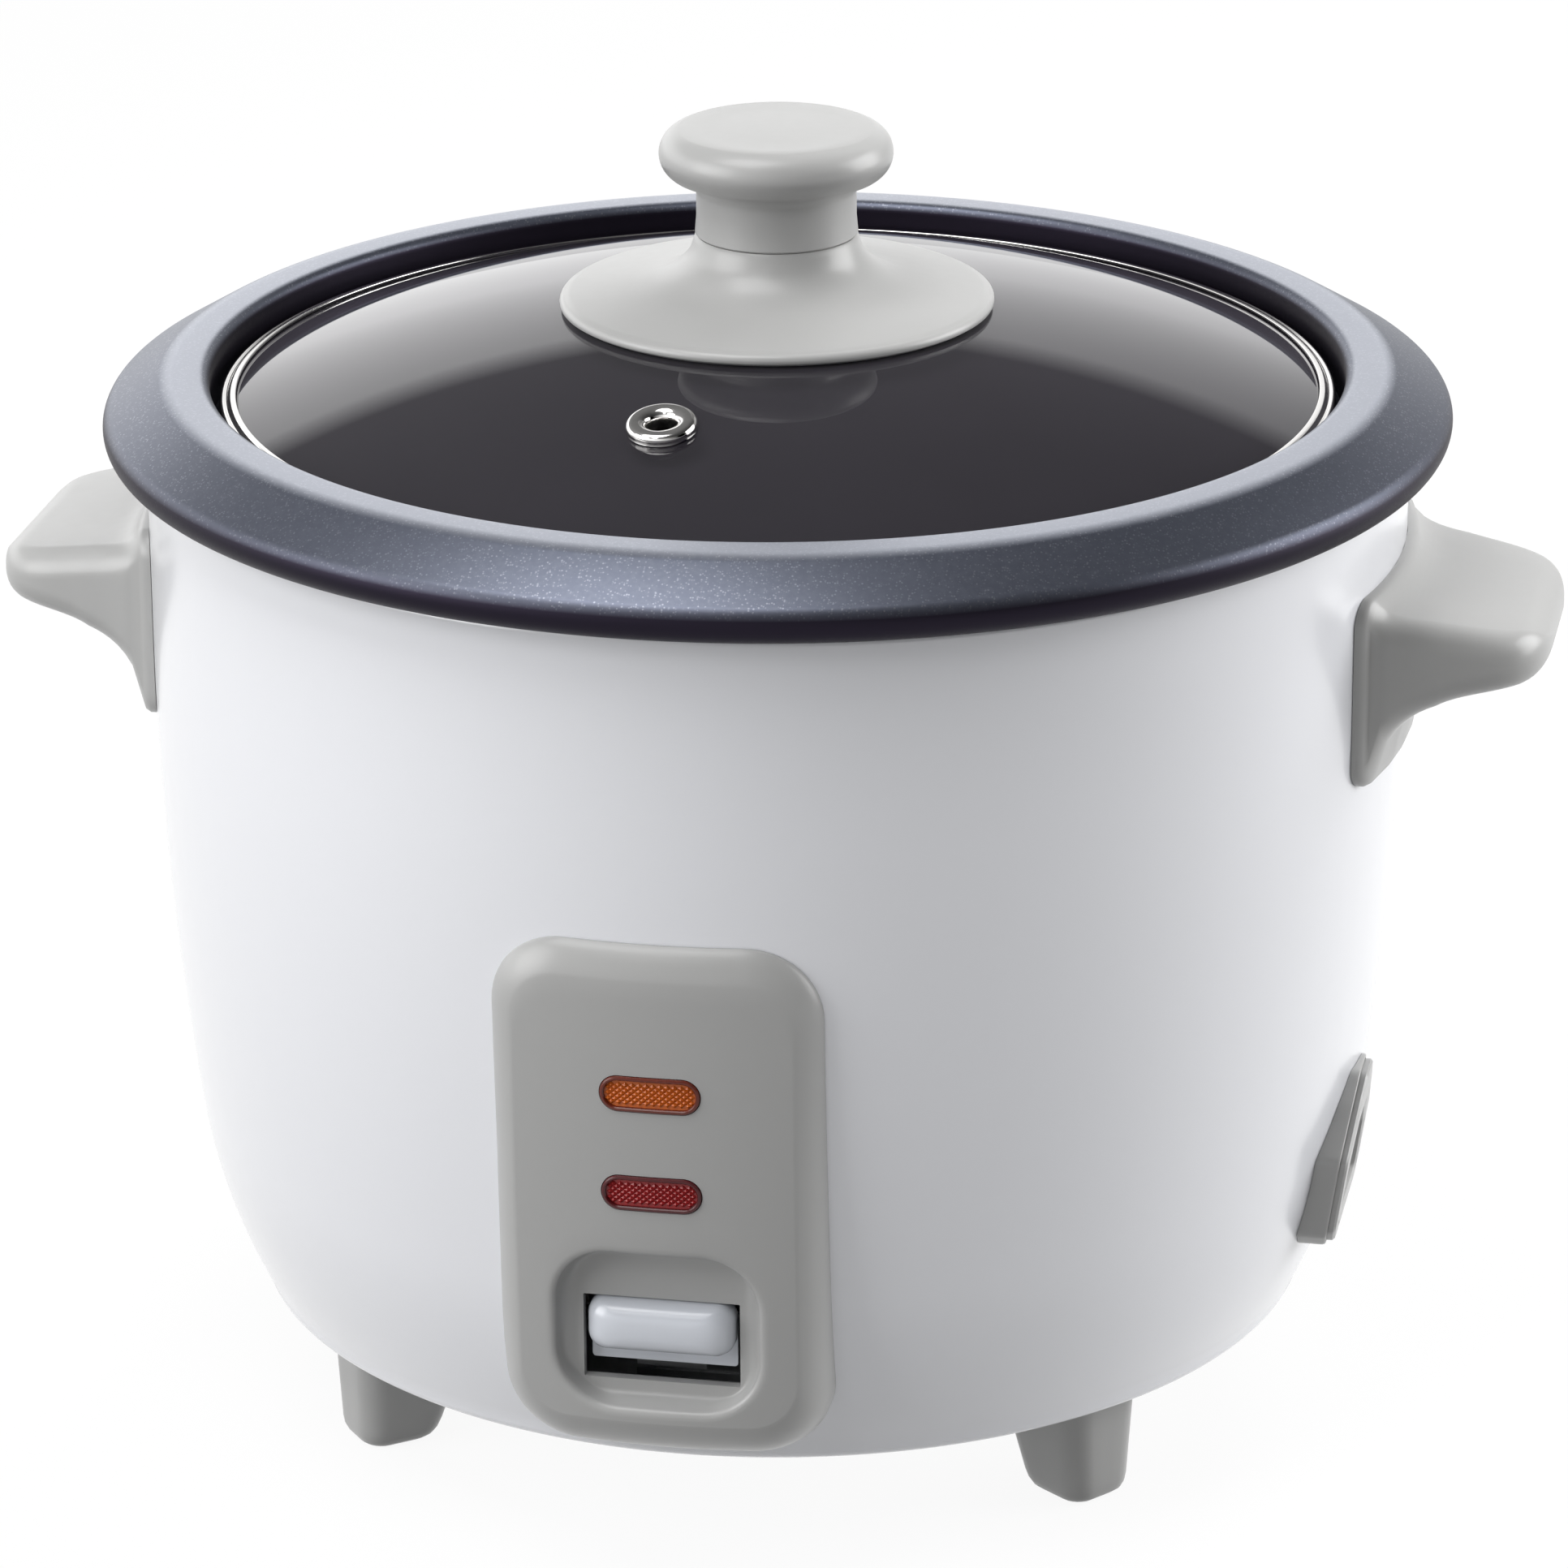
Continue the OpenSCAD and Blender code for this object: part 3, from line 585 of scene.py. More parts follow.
EVEN = (1.0, 1.0, 1.0)
FINISHES = {
    Slot.GLASS: TintedGlass(),
    Slot.BRIGHT: Metal("polished_steel", (0.80, 0.785, 0.77), 0.16),
    Slot.STEEL: Metal("zinc_plate", (0.58, 0.59, 0.60), 0.34),
    Slot.GREY: Moulding("grey_moulding", (0.410, 0.410, 0.405)),
    Slot.WHITE: Moulding("white_moulding", (0.70, 0.73, 0.79), 0.22, 0.004, 0.5),
    Slot.BLACK: Moulding("black_moulding", (0.03, 0.03, 0.033), 0.5),
    Slot.RED: Moulding("red_moulding", (0.50, 0.05, 0.04), 0.35),
    Slot.COATING: NonStick(),
    Slot.PAINT: Enamel(),
    Slot.ORANGE_LENS: LensPlastic("orange_lens", (0.66, 0.16, 0.018), (0.44, 0.075, 0.008)),
    Slot.RED_LENS: LensPlastic("red_lens", (0.40, 0.022, 0.024), (0.22, 0.010, 0.012)),
    Slot.LAMP: Moulding("lamp_envelope", (0.75, 0.60, 0.45), 0.2),
    Slot.BOARD: Moulding("resin_board", (0.10, 0.16, 0.10), 0.5),
    Slot.SHIELD: Metal("rolled_aluminium", (0.80, 0.81, 0.82), 0.30, (1.0, 1.0, 8.0)),
    Slot.CASTING: Metal("cast_aluminium", (0.72, 0.73, 0.74), 0.42, EVEN, 0.02),
    Slot.BAND: Cloth("glass_tape", (0.62, 0.54, 0.38)),
    Slot.SHEATH: Metal("element_sheath", (0.32, 0.31, 0.30), 0.45),
    Slot.DARK: Metal("sintered_metal", (0.18, 0.18, 0.19), 0.5, EVEN, 0.02),
    Slot.CERAMIC: Moulding("bare_ceramic", (0.78, 0.76, 0.69), 0.7, 0.03, 0.0),
    Slot.SLEEVE: Cloth("braided_sleeve", (0.72, 0.72, 0.67), 2600.0),
}
RIM_FINISHES = {
    Slot.ORANGE_LENS: LensPlastic(
        "orange_lens_rim", (0.16, 0.022, 0.008), (0.08, 0.012, 0.006)
    ),
    Slot.RED_LENS: LensPlastic("red_lens_rim", (0.10, 0.008, 0.010), (0.05, 0.005, 0.007)),
}
MATERIALS = {slot: finish.material() for slot, finish in FINISHES.items()}
LENS_RIMS = {slot: finish.material() for slot, finish in RIM_FINISHES.items()}


# ---------------------------------------------------------------- mesh tools


def spaced(first: float, last: float, steps: int) -> list[float]:
    """Evenly spaced numbers from first to last, both included."""
    return [first + (last - first) * i / steps for i in range(steps + 1)]


def arc(
    x: float, z: float, r: float, start: float, end: float, steps: int = 8
) -> list[Point2]:
    """Points of an arc.

    Args:
        x: centre.
        z: centre.
        r: radius.
        start: first angle in degrees.
        end: last angle in degrees.
        steps: segments.

    Returns:
        The points.
    """
    turns = [math.radians(a) for a in spaced(start, end, steps)]
    return [(x + r * math.cos(a), z + r * math.sin(a)) for a in turns]


def rounded(corners: Sequence[Point3], steps: int = 6) -> list[Point2]:
    """A closed outline with rounded corners.

    Args:
        corners: (x, z, corner radius) in order.
        steps: segments of each rounding.

    Returns:
        The outline's points.
    """
    points: list[Point2] = []
    count = len(corners)
    for i, (x, z, r) in enumerate(corners):
        if r <= 0:
            points.append((x, z))
            continue
        here = Vector((x, z))
        before = (Vector(corners[i - 1][:2]) - here).normalized()
        after = (Vector(corners[(i + 1) % count][:2]) - here).normalized()
        half = before.angle(after) / 2
        reach = r / math.tan(half)
        centre = here + (before + after).normalized() * (r / math.sin(half))
        first = here + before * reach - centre
        last = here + after * reach - centre
        swing = first.angle_signed(last)
        for k in range(steps + 1):
            turned = first.copy()
            turned.rotate(Matrix.Rotation(-swing * k / steps, 2))
            points.append(tuple(centre + turned))
    return points


def outline_box(
    half: float, low: float, high: float, r: float, steps: int = 10, side: int = 6
) -> list[Point2]:
    """A rectangle with round corners, with the same number of points whatever its size.

    Args:
        half: half width.
        low: lowest height.
        high: highest height.
        r: corner radius.
        steps: segments of a corner.
        side: segments of a straight side.

    Returns:
        (across, height) points, starting at the middle of the right side.
    """
    corners = [
        arc(half - r, high - r, r, 0, 90, steps),
        arc(r - half, high - r, r, 90, 180, steps),
        arc(r - half, low + r, r, 180, 270, steps),
        arc(half - r, low + r, r, 270, 360, steps),
    ]
    points: list[Point2] = []
    for i, corner in enumerate(corners):
        points += corner
        (xa, za), (xb, zb) = corner[-1], corners[(i + 1) % 4][0]
        points += [
            (xa + (xb - xa) * k / side, za + (zb - za) * k / side) for k in range(1, side)
        ]
    return points


def link(name: str, data: bpy.types.ID) -> bpy.types.Object:
    """Makes an object and links it to the scene.

    Args:
        name: the object's name.
        data: its mesh, lamp or camera.

    Returns:
        The new object.
    """
    made = bpy.data.objects.new(name, data)
    bpy.context.scene.collection.objects.link(made)
    return made


def smooth(data: bpy.types.Mesh, sharp: float = SHARP) -> None:
    """Smooths a mesh's shading but for the edges steeper than an angle in degrees."""
    data.shade_smooth()
    data.set_sharp_from_angle(angle=math.radians(sharp))


def finish_mesh(
    name: str, mesh: bmesh.types.BMesh, slot: Slot, sharp: float = SHARP
) -> bpy.types.Object:
    """Turns millimetre mesh data into a dressed object.

    Args:
        name: the piece's name.
        mesh: its mesh, freed here.
        slot: its finish.
        sharp: edges steeper than this stay sharp, in degrees.

    Returns:
        The new object.
    """
    bmesh.ops.remove_doubles(mesh, verts=mesh.verts, dist=WELD)
    bmesh.ops.recalc_face_normals(mesh, faces=mesh.faces)
    bmesh.ops.scale(mesh, vec=(MM, MM, MM), verts=mesh.verts)
    data = bpy.data.meshes.new(name)
    mesh.to_mesh(data)
    mesh.free()
    smooth(data, sharp)
    data.materials.append(MATERIALS[slot])
    return link(name, data)


def loft(
    mesh: bmesh.types.BMesh, rings: Sequence[Sequence[Point3]], closed: bool = False
) -> None:
    """Joins rings of points with quads, and fills the two ends where it isn't closed.

    Args:
        mesh: the mesh to add to.
        rings: outlines with the same number of points.
        closed: the last ring joins the first.
    """
    made = [[mesh.verts.new(p) for p in ring] for ring in rings]
    count = len(made[0])
    pairs = list(zip(made, made[1:])) + ([(made[-1], made[0])] if closed else [])
    for low, high in pairs:
        for i in range(count):
            j = (i + 1) % count
            mesh.faces.new((low[i], low[j], high[j], high[i]))
    if not closed:
        for ring in (made[0], made[-1]):
            middle = mesh.verts.new(sum((v.co for v in ring), Vector()) / count)
            for i in range(count):
                mesh.faces.new((ring[i], ring[(i + 1) % count], middle))


def lathe(outline: Sequence[Point2], steps: int) -> list[list[Point3]]:
    """Turns an outline about the upright axis.

    Args:
        outline: (radius, height) points.
        steps: facets round the axis.

    Returns:
        The outline once for each facet.
    """
    turns = [2 * math.pi * i / steps for i in range(steps)]
    return [[(r * math.cos(a), r * math.sin(a), z) for r, z in outline] for a in turns]


def revolve(
    name: str, outline: Sequence[Point2], slot: Slot, steps: int = 240, sharp: float = SHARP
) -> bpy.types.Object:
    """A solid of revolution about the cooker's axis.

    Args:
        name: the piece's name.
        outline: closed (radius, height) outline.
        slot: its finish.
        steps: facets round the axis.
        sharp: edges steeper than this stay sharp, in degrees.

    Returns:
        The new object.
    """
    mesh = bmesh.new()
    loft(mesh, lathe(outline, steps), closed=True)
    bmesh.ops.dissolve_degenerate(mesh, dist=1e-5, edges=mesh.edges)
    return finish_mesh(name, mesh, slot, sharp)


def cut(piece: bpy.types.Object, cutters: Sequence[bpy.types.Object]) -> None:
    """Takes cutters out of a piece for good, and deletes them.

    Args:
        piece: the piece to cut.
        cutters: the shapes to take out.
    """
    for cutter in cutters:
        change = piece.modifiers.new("cut", "BOOLEAN")
        change.operation = "DIFFERENCE"
        change.solver = "EXACT"
        change.object = cutter
    bpy.context.view_layer.update()
    graph = bpy.context.evaluated_depsgraph_get()
    data = bpy.data.meshes.new_from_object(piece.evaluated_get(graph))
    piece.modifiers.clear()
    old, piece.data = piece.data, data
    data.name = piece.name
    bpy.data.meshes.remove(old)
    smooth(data)
    for cutter in cutters:
        bpy.data.objects.remove(cutter)


def put(piece: bpy.types.Object, body: str, slot: Slot, *nodes: str) -> bpy.types.Object:
    """Makes a piece ride on its body and stand for its CAD nodes.

    Args:
        piece: the finished piece.
        body: the CAD body that it moves with.
        slot: the record's slot of its finish; not used.
        nodes: the CAD nodes it stands for.

    Returns:
        The piece.
    """
    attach(piece, body)
    if nodes:
        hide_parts(*nodes)
    LOG.info("%s: %d faces on %s", piece.name, len(piece.data.polygons), body)
    return piece


# ---------------------------------------------------------------- housing


@dataclass
class Housing:
    """The painted steel body: an upright top that bows in towards the floor."""

    radius: float = 110.2
    top: float = 176.0
    low: float = 21.6
    sheet: float = 1.0
    lip: float = 100.0
    low_lip: float = 88.0
    straight_from: float = 140.0
    toe_from: float = 55.0
    side_bow: float = 620.0
    toe_bow: float = 99.0
    toe_round: float = 2.2
    top_round: float = 1.8
    # Openings: middle across, half width, lowest and highest height.
    panel_hole: Box = (0.0, 20.5, 37.0, 108.0)
    inlet_hole: Box = (-11.5, 14.8, 40.7, 58.0)
    hole_corner: float = 1.0
    cut_reach: Point2 = (120.0, 80.0)

    def at(self, z: float) -> float:
        """Outer radius at a height.

        Args:
            z: the height.

        Returns:
            The radius.
        """
        side = max(0.0, self.straight_from - z) ** 2 / (2 * self.side_bow)
        toe = max(0.0, self.toe_from - z) ** 2 / (2 * self.toe_bow)
        return self.radius - side - toe

    def face_x(self, across: float, z: float) -> float:
        """Distance of the outer face from the middle plane at a distance across it."""
        return math.sqrt(max(1.0, self.at(z) ** 2 - across * across))

    def build(self) -> None:
        """Makes the shell with its turned-in lips, then cuts its two openings."""
        shell = revolve("housing_shell", self.outline(), Slot.PAINT, 288)
        cut(shell, [self.cutter(True), self.cutter(False)])
        put(shell, "cooker", Slot.PAINT, "outer_housing")

    def outline(self) -> list[Point2]:
        """The bent sheet's closed section.

        Returns:
            (radius, height) points.
        """
        toe, roll, t = self.toe_round, self.top_round, self.sheet
        base, crown = self.low + toe, self.top - roll
        toe_x, roll_x = self.at(base) - toe, self.radius - roll
        side = [(self.at(z), z) for z in spaced(base, crown, 60)]
        points = [(self.low_lip, self.low + t), (self.low_lip, self.low)]
        points += arc(toe_x, base, toe, -90, -12, 6) + side
        points += arc(roll_x, crown, roll, 6, 90, 8)
        points += [(self.lip, self.top), (self.lip, self.top - t)]
        points += arc(roll_x, crown, roll - t, 90, 0, 8)
        points += [(r - t, z) for r, z in reversed(side)]
        return points + [(toe_x, self.low + t)]

    def cutter(self, front: bool) -> bpy.types.Object:
        """A block that cuts one opening.

        Args:
            front: the opening behind the panel, or else the one behind the inlet.

        Returns:
            The block.
        """
        middle, half, low, high = self.panel_hole if front else self.inlet_hole
        box = outline_box(half, low, high, self.hole_corner, 3, 1)
        side = [(a + middle, z) for a, z in box]
        mesh = bmesh.new()
        if front:
            loft(mesh, [[(a, -reach, z) for a, z in side] for reach in self.cut_reach])
        else:
            loft(mesh, [[(reach, a, z) for a, z in side] for reach in self.cut_reach])
        return finish_mesh("opening_cutter", mesh, Slot.PAINT)


# ---------------------------------------------------------------- pot


@dataclass
class Pot:
    """The coated inner pot with its wide rolled flange."""

    wall: float = 1.6
    facets: int = 320
    inside: float = 93.5
    low: float = 66.3
    corner: float = 25.0
    ledge: float = 178.1
    ledge_step: float = 0.8
    ledge_width: float = 1.0
    ledge_slope: float = 0.3
    collar: float = 98.9
    mouth_round: float = 2.0
    crown: float = 188.8
    crown_rise: float = 0.15
    crown_width: float = 4.5
    crease: float = 106.6
    crease_reach: float = 1.6
    flange: float = 117.6
    slope_turn: float = 54.0
    slope_turn_inside: float = 58.0
    curl: float = 3.7
    curl_z: float = 180.2
    curl_turn: float = -150.0

    def build(self) -> None:
        """Makes the pot as one turned sheet."""
        t, outside = self.wall, self.inside + self.wall
        curl_x, corner_x = self.flange - self.curl, outside - self.corner
        corner_z, mouth_x = self.low + self.corner, self.collar + self.mouth_round
        mouth_z = self.crown + self.crown_rise - self.mouth_round
        outline: list[Point2] = [(0.0, self.low)]
        outline += arc(corner_x, corner_z, self.corner, -90, 0, 16)
        outline += [(outside, self.ledge - t)]
        outline += [(self.collar + t, self.ledge - t + self.ledge_slope)]
        outline += [(self.collar + t, self.crown - t * 1.5), (self.crease - 1, self.crown - t)]
        outline += arc(
            curl_x, self.curl_z, self.curl - t, self.slope_turn_inside, self.curl_turn, 20
        )
        outline += arc(curl_x, self.curl_z, self.curl, self.curl_turn, self.slope_turn, 28)
        outline += self.crease_round()
        outline += arc(mouth_x, mouth_z, self.mouth_round, 84, 180, 8)
        outline += [(self.collar, self.ledge + self.ledge_step)]
        outline += [(self.collar - self.ledge_step, self.ledge)]
        outline += [(self.inside + self.ledge_width, self.ledge)]
        outline += [(self.inside, self.ledge - self.ledge_width)]
        outline += arc(corner_x, corner_z, self.corner - t, 0, -90, 16)
        outline += [(0.0, self.low + t)]
        pot = revolve("coated_pot", outline, Slot.COATING, self.facets, 40)
        put(pot, "pot", Slot.COATING, "inner_pot")

    def crease_round(self) -> list[Point2]:
        """The soft crease between the flange's slope and its top ring.

        Returns:
            (radius, height) points from the slope to the ring.
        """
        turn = math.radians(self.slope_turn)
        away = Vector((math.cos(turn), math.sin(turn))) * self.curl
        start = Vector((self.flange - self.curl, self.curl_z)) + away
        knee = Vector((self.crease, self.crown))
        end = Vector((self.crease - self.crown_width, self.crown + self.crown_rise))
        slope, top = (start - knee).normalized(), (end - knee).normalized()
        points = []
        for share in spaced(0.0, 1.0, 8):
            a = knee + slope * self.crease_reach * (1 - share)
            b = knee + top * self.crease_reach * share
            points.append(tuple(a * (1 - share) + b * share))
        return points


# ---------------------------------------------------------------- lid


@dataclass
class Lid:
    """The domed glass lid with its steel band, eyelet and knob."""

    dome: float = 271.0
    peak: float = 201.2
    glass: float = 4.0
    glass_bore: float = 4.0
    seat_gap: float = 0.1
    rim: float = 97.3
    rim_gap: float = 1.5
    rim_round: float = 0.8
    rim_drop: float = 0.9
    band_low: float = 178.4
    band_top: float = 185.0
    band_sheet: float = 0.6
    band_inner: float = 0.7
    band_width: float = 2.9
    # Corners of the bead: out from the band's top edge, up from it, and rounding.
    band_bead: tuple[Point3, ...] = (
        (0.0, -1.4, 0.5),
        (-0.5, -0.5, 0.4),
        (-1.2, -0.9, 0.25),
        (-1.9, -0.05, 0.5),
    )
    vent_off: float = 60.5
    vent_turn: float = -97.5
    vent_bore: float = 3.4
    eyelet_bore: float = 2.5
    eyelet_wall: float = 0.5
    eyelet_foot: float = 5.4
    eyelet_brim: float = 6.0
    eyelet_gap: float = 0.15
    eyelet_sheet: float = 0.65
    # Rounds of the eyelet: radius, height above the glass's middle, rounding.
    eyelet_roll: Point3 = (4.9, 0.85, 1.1)
    eyelet_throat: Point3 = (4.3, 0.15, 1.8)
    bore: float = 2.55
    skirt: float = 37.8
    skirt_edge: float = 200.9
    skirt_lip: float = 1.1
    skirt_shell: float = 2.2
    skirt_slope: float = 3.4
    skirt_cone: float = 4.8
    cone_power: int = 7
    bell_radii: tuple[float, ...] = (36.8, 33, 29, 26)
    hollow_radii: tuple[float, ...] = (25, 23, 21, 19, 17)
    neck: float = 14.2
    neck_foot: float = 0.9
    neck_waist: float = 0.3
    neck_heights: Point2 = (215.0, 218.0)
    parting: float = 211.7
    parting_groove: float = 0.35
    knob: float = 20.3
    # Rounds of the knob's edge and of its neck: distance from them, height, rounding.
    knob_round: Point3 = (4.4, 226.1, 4.4)
    throat: Point3 = (2.2, 219.3, 2.5)
    top: float = 230.5
    # Heights of the washer's three steps, then their radii.
    washer: Point3 = (188.5, 190.6, 193.2)
    washer_radii: Point3 = (11.0, 14.2, 17.0)

    def dome_z(self, r: float, depth: float = 0.0) -> float:
        """Height of the dome at a radius, at a depth under its top face."""
        return self.peak - self.dome + math.sqrt((self.dome - depth) ** 2 - r * r)

    def on_glass(self, r: float) -> Point2:
        """A point of an outline at a radius, a hair above the glass."""
        return (r, self.dome_z(r) + self.seat_gap)

    def skirt_z(self, r: float) -> float:
        """Height of the skirt's bell at a radius: a gentle slope, then a steep cone."""
        share = (self.skirt - r) / (self.skirt - self.neck - 0.6)
        return self.skirt_edge + self.skirt_slope * share + self.skirt_cone * share**self.cone_power

    def build(self) -> None:
        """Makes every piece of the lid."""
        self.build_glass()
        self.build_band()
        self.build_eyelet()
        self.build_skirt()
        self.build_grip()
        self.build_washer()

    def build_glass(self) -> None:
        """Makes the dome with its two holes."""
        edge, drop = self.rim - self.rim_gap, self.rim_drop
        radii = spaced(self.glass_bore, edge - self.rim_round, 40)
        outline = [(r, self.dome_z(r)) for r in radii]
        outline += [(edge, self.dome_z(edge) - drop), (edge, self.dome_z(edge, self.glass) + drop)]
        outline += [(r, self.dome_z(r, self.glass)) for r in reversed(radii)]
        glass = revolve("glass_dome", outline, Slot.GLASS, 256)
        drill = bmesh.new()
        bore = self.vent_bore
        bmesh.ops.create_cone(
            drill, cap_ends=True, segments=48, radius1=bore, radius2=bore, depth=20
        )
        cutter = finish_mesh("vent_drill", drill, Slot.GLASS)
        self.stand_at_vent(cutter)
        cut(glass, [cutter])
        put(glass, "lid", Slot.GLASS, "lid_glass")

    def stand_at_vent(self, piece: bpy.types.Object) -> None:
        """Moves a piece made about the origin onto the dome at the steam hole.

        Args:
            piece: the piece, its +Z pointing out of the glass.
        """
        turn, tilt = math.radians(self.vent_turn), math.asin(self.vent_off / self.dome)
        across = math.sin(tilt)
        out = Vector((across * math.cos(turn), across * math.sin(turn), math.cos(tilt)))
        centre = Vector((0, 0, self.peak - self.dome)) * MM
        piece.rotation_mode = "QUATERNION"
        piece.rotation_quaternion = out.to_track_quat("Z", "X")
        piece.location = centre + out * self.dome * MM
        bpy.context.view_layer.update()
        piece.data.transform(piece.matrix_world)
        piece.matrix_world = piece.matrix_world.Identity(4)

    def build_band(self) -> None:
        """Makes the folded steel band with its bead."""
        out, low, top, t = self.rim, self.band_low, self.band_top, self.band_sheet
        fold, inner = out - self.band_width, out - self.band_inner
        corners = [(fold, low, 0.1), (out - 0.2, low, 0.4), (out, low + 1, 0.3)]
        corners += [(out + across, top + up, r) for across, up, r in self.band_bead]
        corners += [(fold, top, 0.2), (fold, top - 0.5, 0.0), (inner, top - 1.2, 0.1)]
        corners += [(inner, low + t, 0.1), (fold, low + t, 0.0)]
        band = revolve("lid_band", rounded(corners, 4), Slot.BRIGHT, 288, 50)
        put(band, "lid", Slot.BRIGHT, "lid_rim_band")

    def build_eyelet(self) -> None:
        """Makes the rolled steam eyelet."""
        under, bore, foot = -self.glass - self.eyelet_gap, self.eyelet_bore, self.eyelet_foot
        shank, low = bore + self.eyelet_wall, under - self.eyelet_sheet
        outline = [(bore, low), (foot, low), (foot, under), (shank, under)]
        outline += [(shank, self.seat_gap), (self.eyelet_brim, self.seat_gap)]
        outline += arc(*self.eyelet_roll, -20, 90, 10) + arc(*self.eyelet_throat, 95, 180, 10)
        mesh = bmesh.new()
        loft(mesh, lathe(outline, 96), closed=True)
        eyelet = finish_mesh("steam_eyelet", mesh, Slot.BRIGHT, 50)
        self.stand_at_vent(eyelet)
        put(eyelet, "lid", Slot.BRIGHT, "steam_vent_eyelet")

    def build_skirt(self) -> None:
        """Makes the bell-shaped skirt that stands on the glass."""
        neck, parting, lip = self.neck, self.parting, self.skirt_lip
        groove, shell = self.parting_groove, self.skirt_shell
        bell = spaced(neck + self.neck_foot, self.skirt - 1.2, 28)
        outline = [self.on_glass(self.bore), (self.bore, parting), (neck - groove, parting)]
        outline += [(neck, parting - groove), (neck + 0.25, parting - 1.2)]
        outline += [(r, self.skirt_z(r)) for r in bell]
        outline += arc(self.skirt - lip, self.skirt_edge - lip, lip, 85, -25, 8)
        outline += [self.on_glass(r) for r in self.bell_radii]
        hollow = [(self.skirt_z(r) - shell, *self.on_glass(r)) for r in self.hollow_radii]
        outline += [(r, max(inside, seat)) for inside, r, seat in hollow]
        outline += [(13, outline[-1][1]), self.on_glass(13), self.on_glass(8)]
        skirt = revolve("knob_skirt", outline, Slot.GREY, 192)
        put(skirt, "lid", Slot.GREY, "lid_knob_skirt")

    def build_grip(self) -> None:
        """Makes the round grip above the parting line."""
        neck, disc, top = self.neck, self.knob, self.top
        foot = self.parting + 0.1
        (throat_off, throat_z, throat_r), (off, z, r) = self.throat, self.knob_round
        outline = [(0.0, foot), (neck - self.parting_groove, foot), (neck - 0.05, foot + 0.3)]
        outline += [(neck - self.neck_waist, z) for z in self.neck_heights]
        outline += arc(neck + throat_off, throat_z, throat_r, 180, 118, 6)
        outline += arc(disc - off, z, r, -58, 78, 20)
        outline += [(disc - 6.5, top - 0.25), (disc - 11, top - 0.05), (0.0, top)]
        put(revolve("knob_grip", outline, Slot.GREY, 192), "lid", Slot.GREY, "lid_knob")

    def build_washer(self) -> None:
        """Makes the stepped washer under the glass."""
        bore, (low, shelf, head), (small, middle, wide) = self.bore, self.washer, self.washer_radii
        under = self.glass + self.seat_gap
        corners = [(bore, low, 0.2), (small, low, 0.6), (small, shelf, 0.0), (middle, shelf, 0.5)]
        corners += [(middle, head, 0.0), (wide, head, 0.5)]
        corners += [(r, self.dome_z(r, under), 0.0) for r in (wide, 9, bore)]
        washer = revolve("knob_washer", rounded(corners, 4), Slot.GREY, 128)
        put(washer, "lid", Slot.GREY, "lid_knob_washer")


# ---------------------------------------------------------------- handles


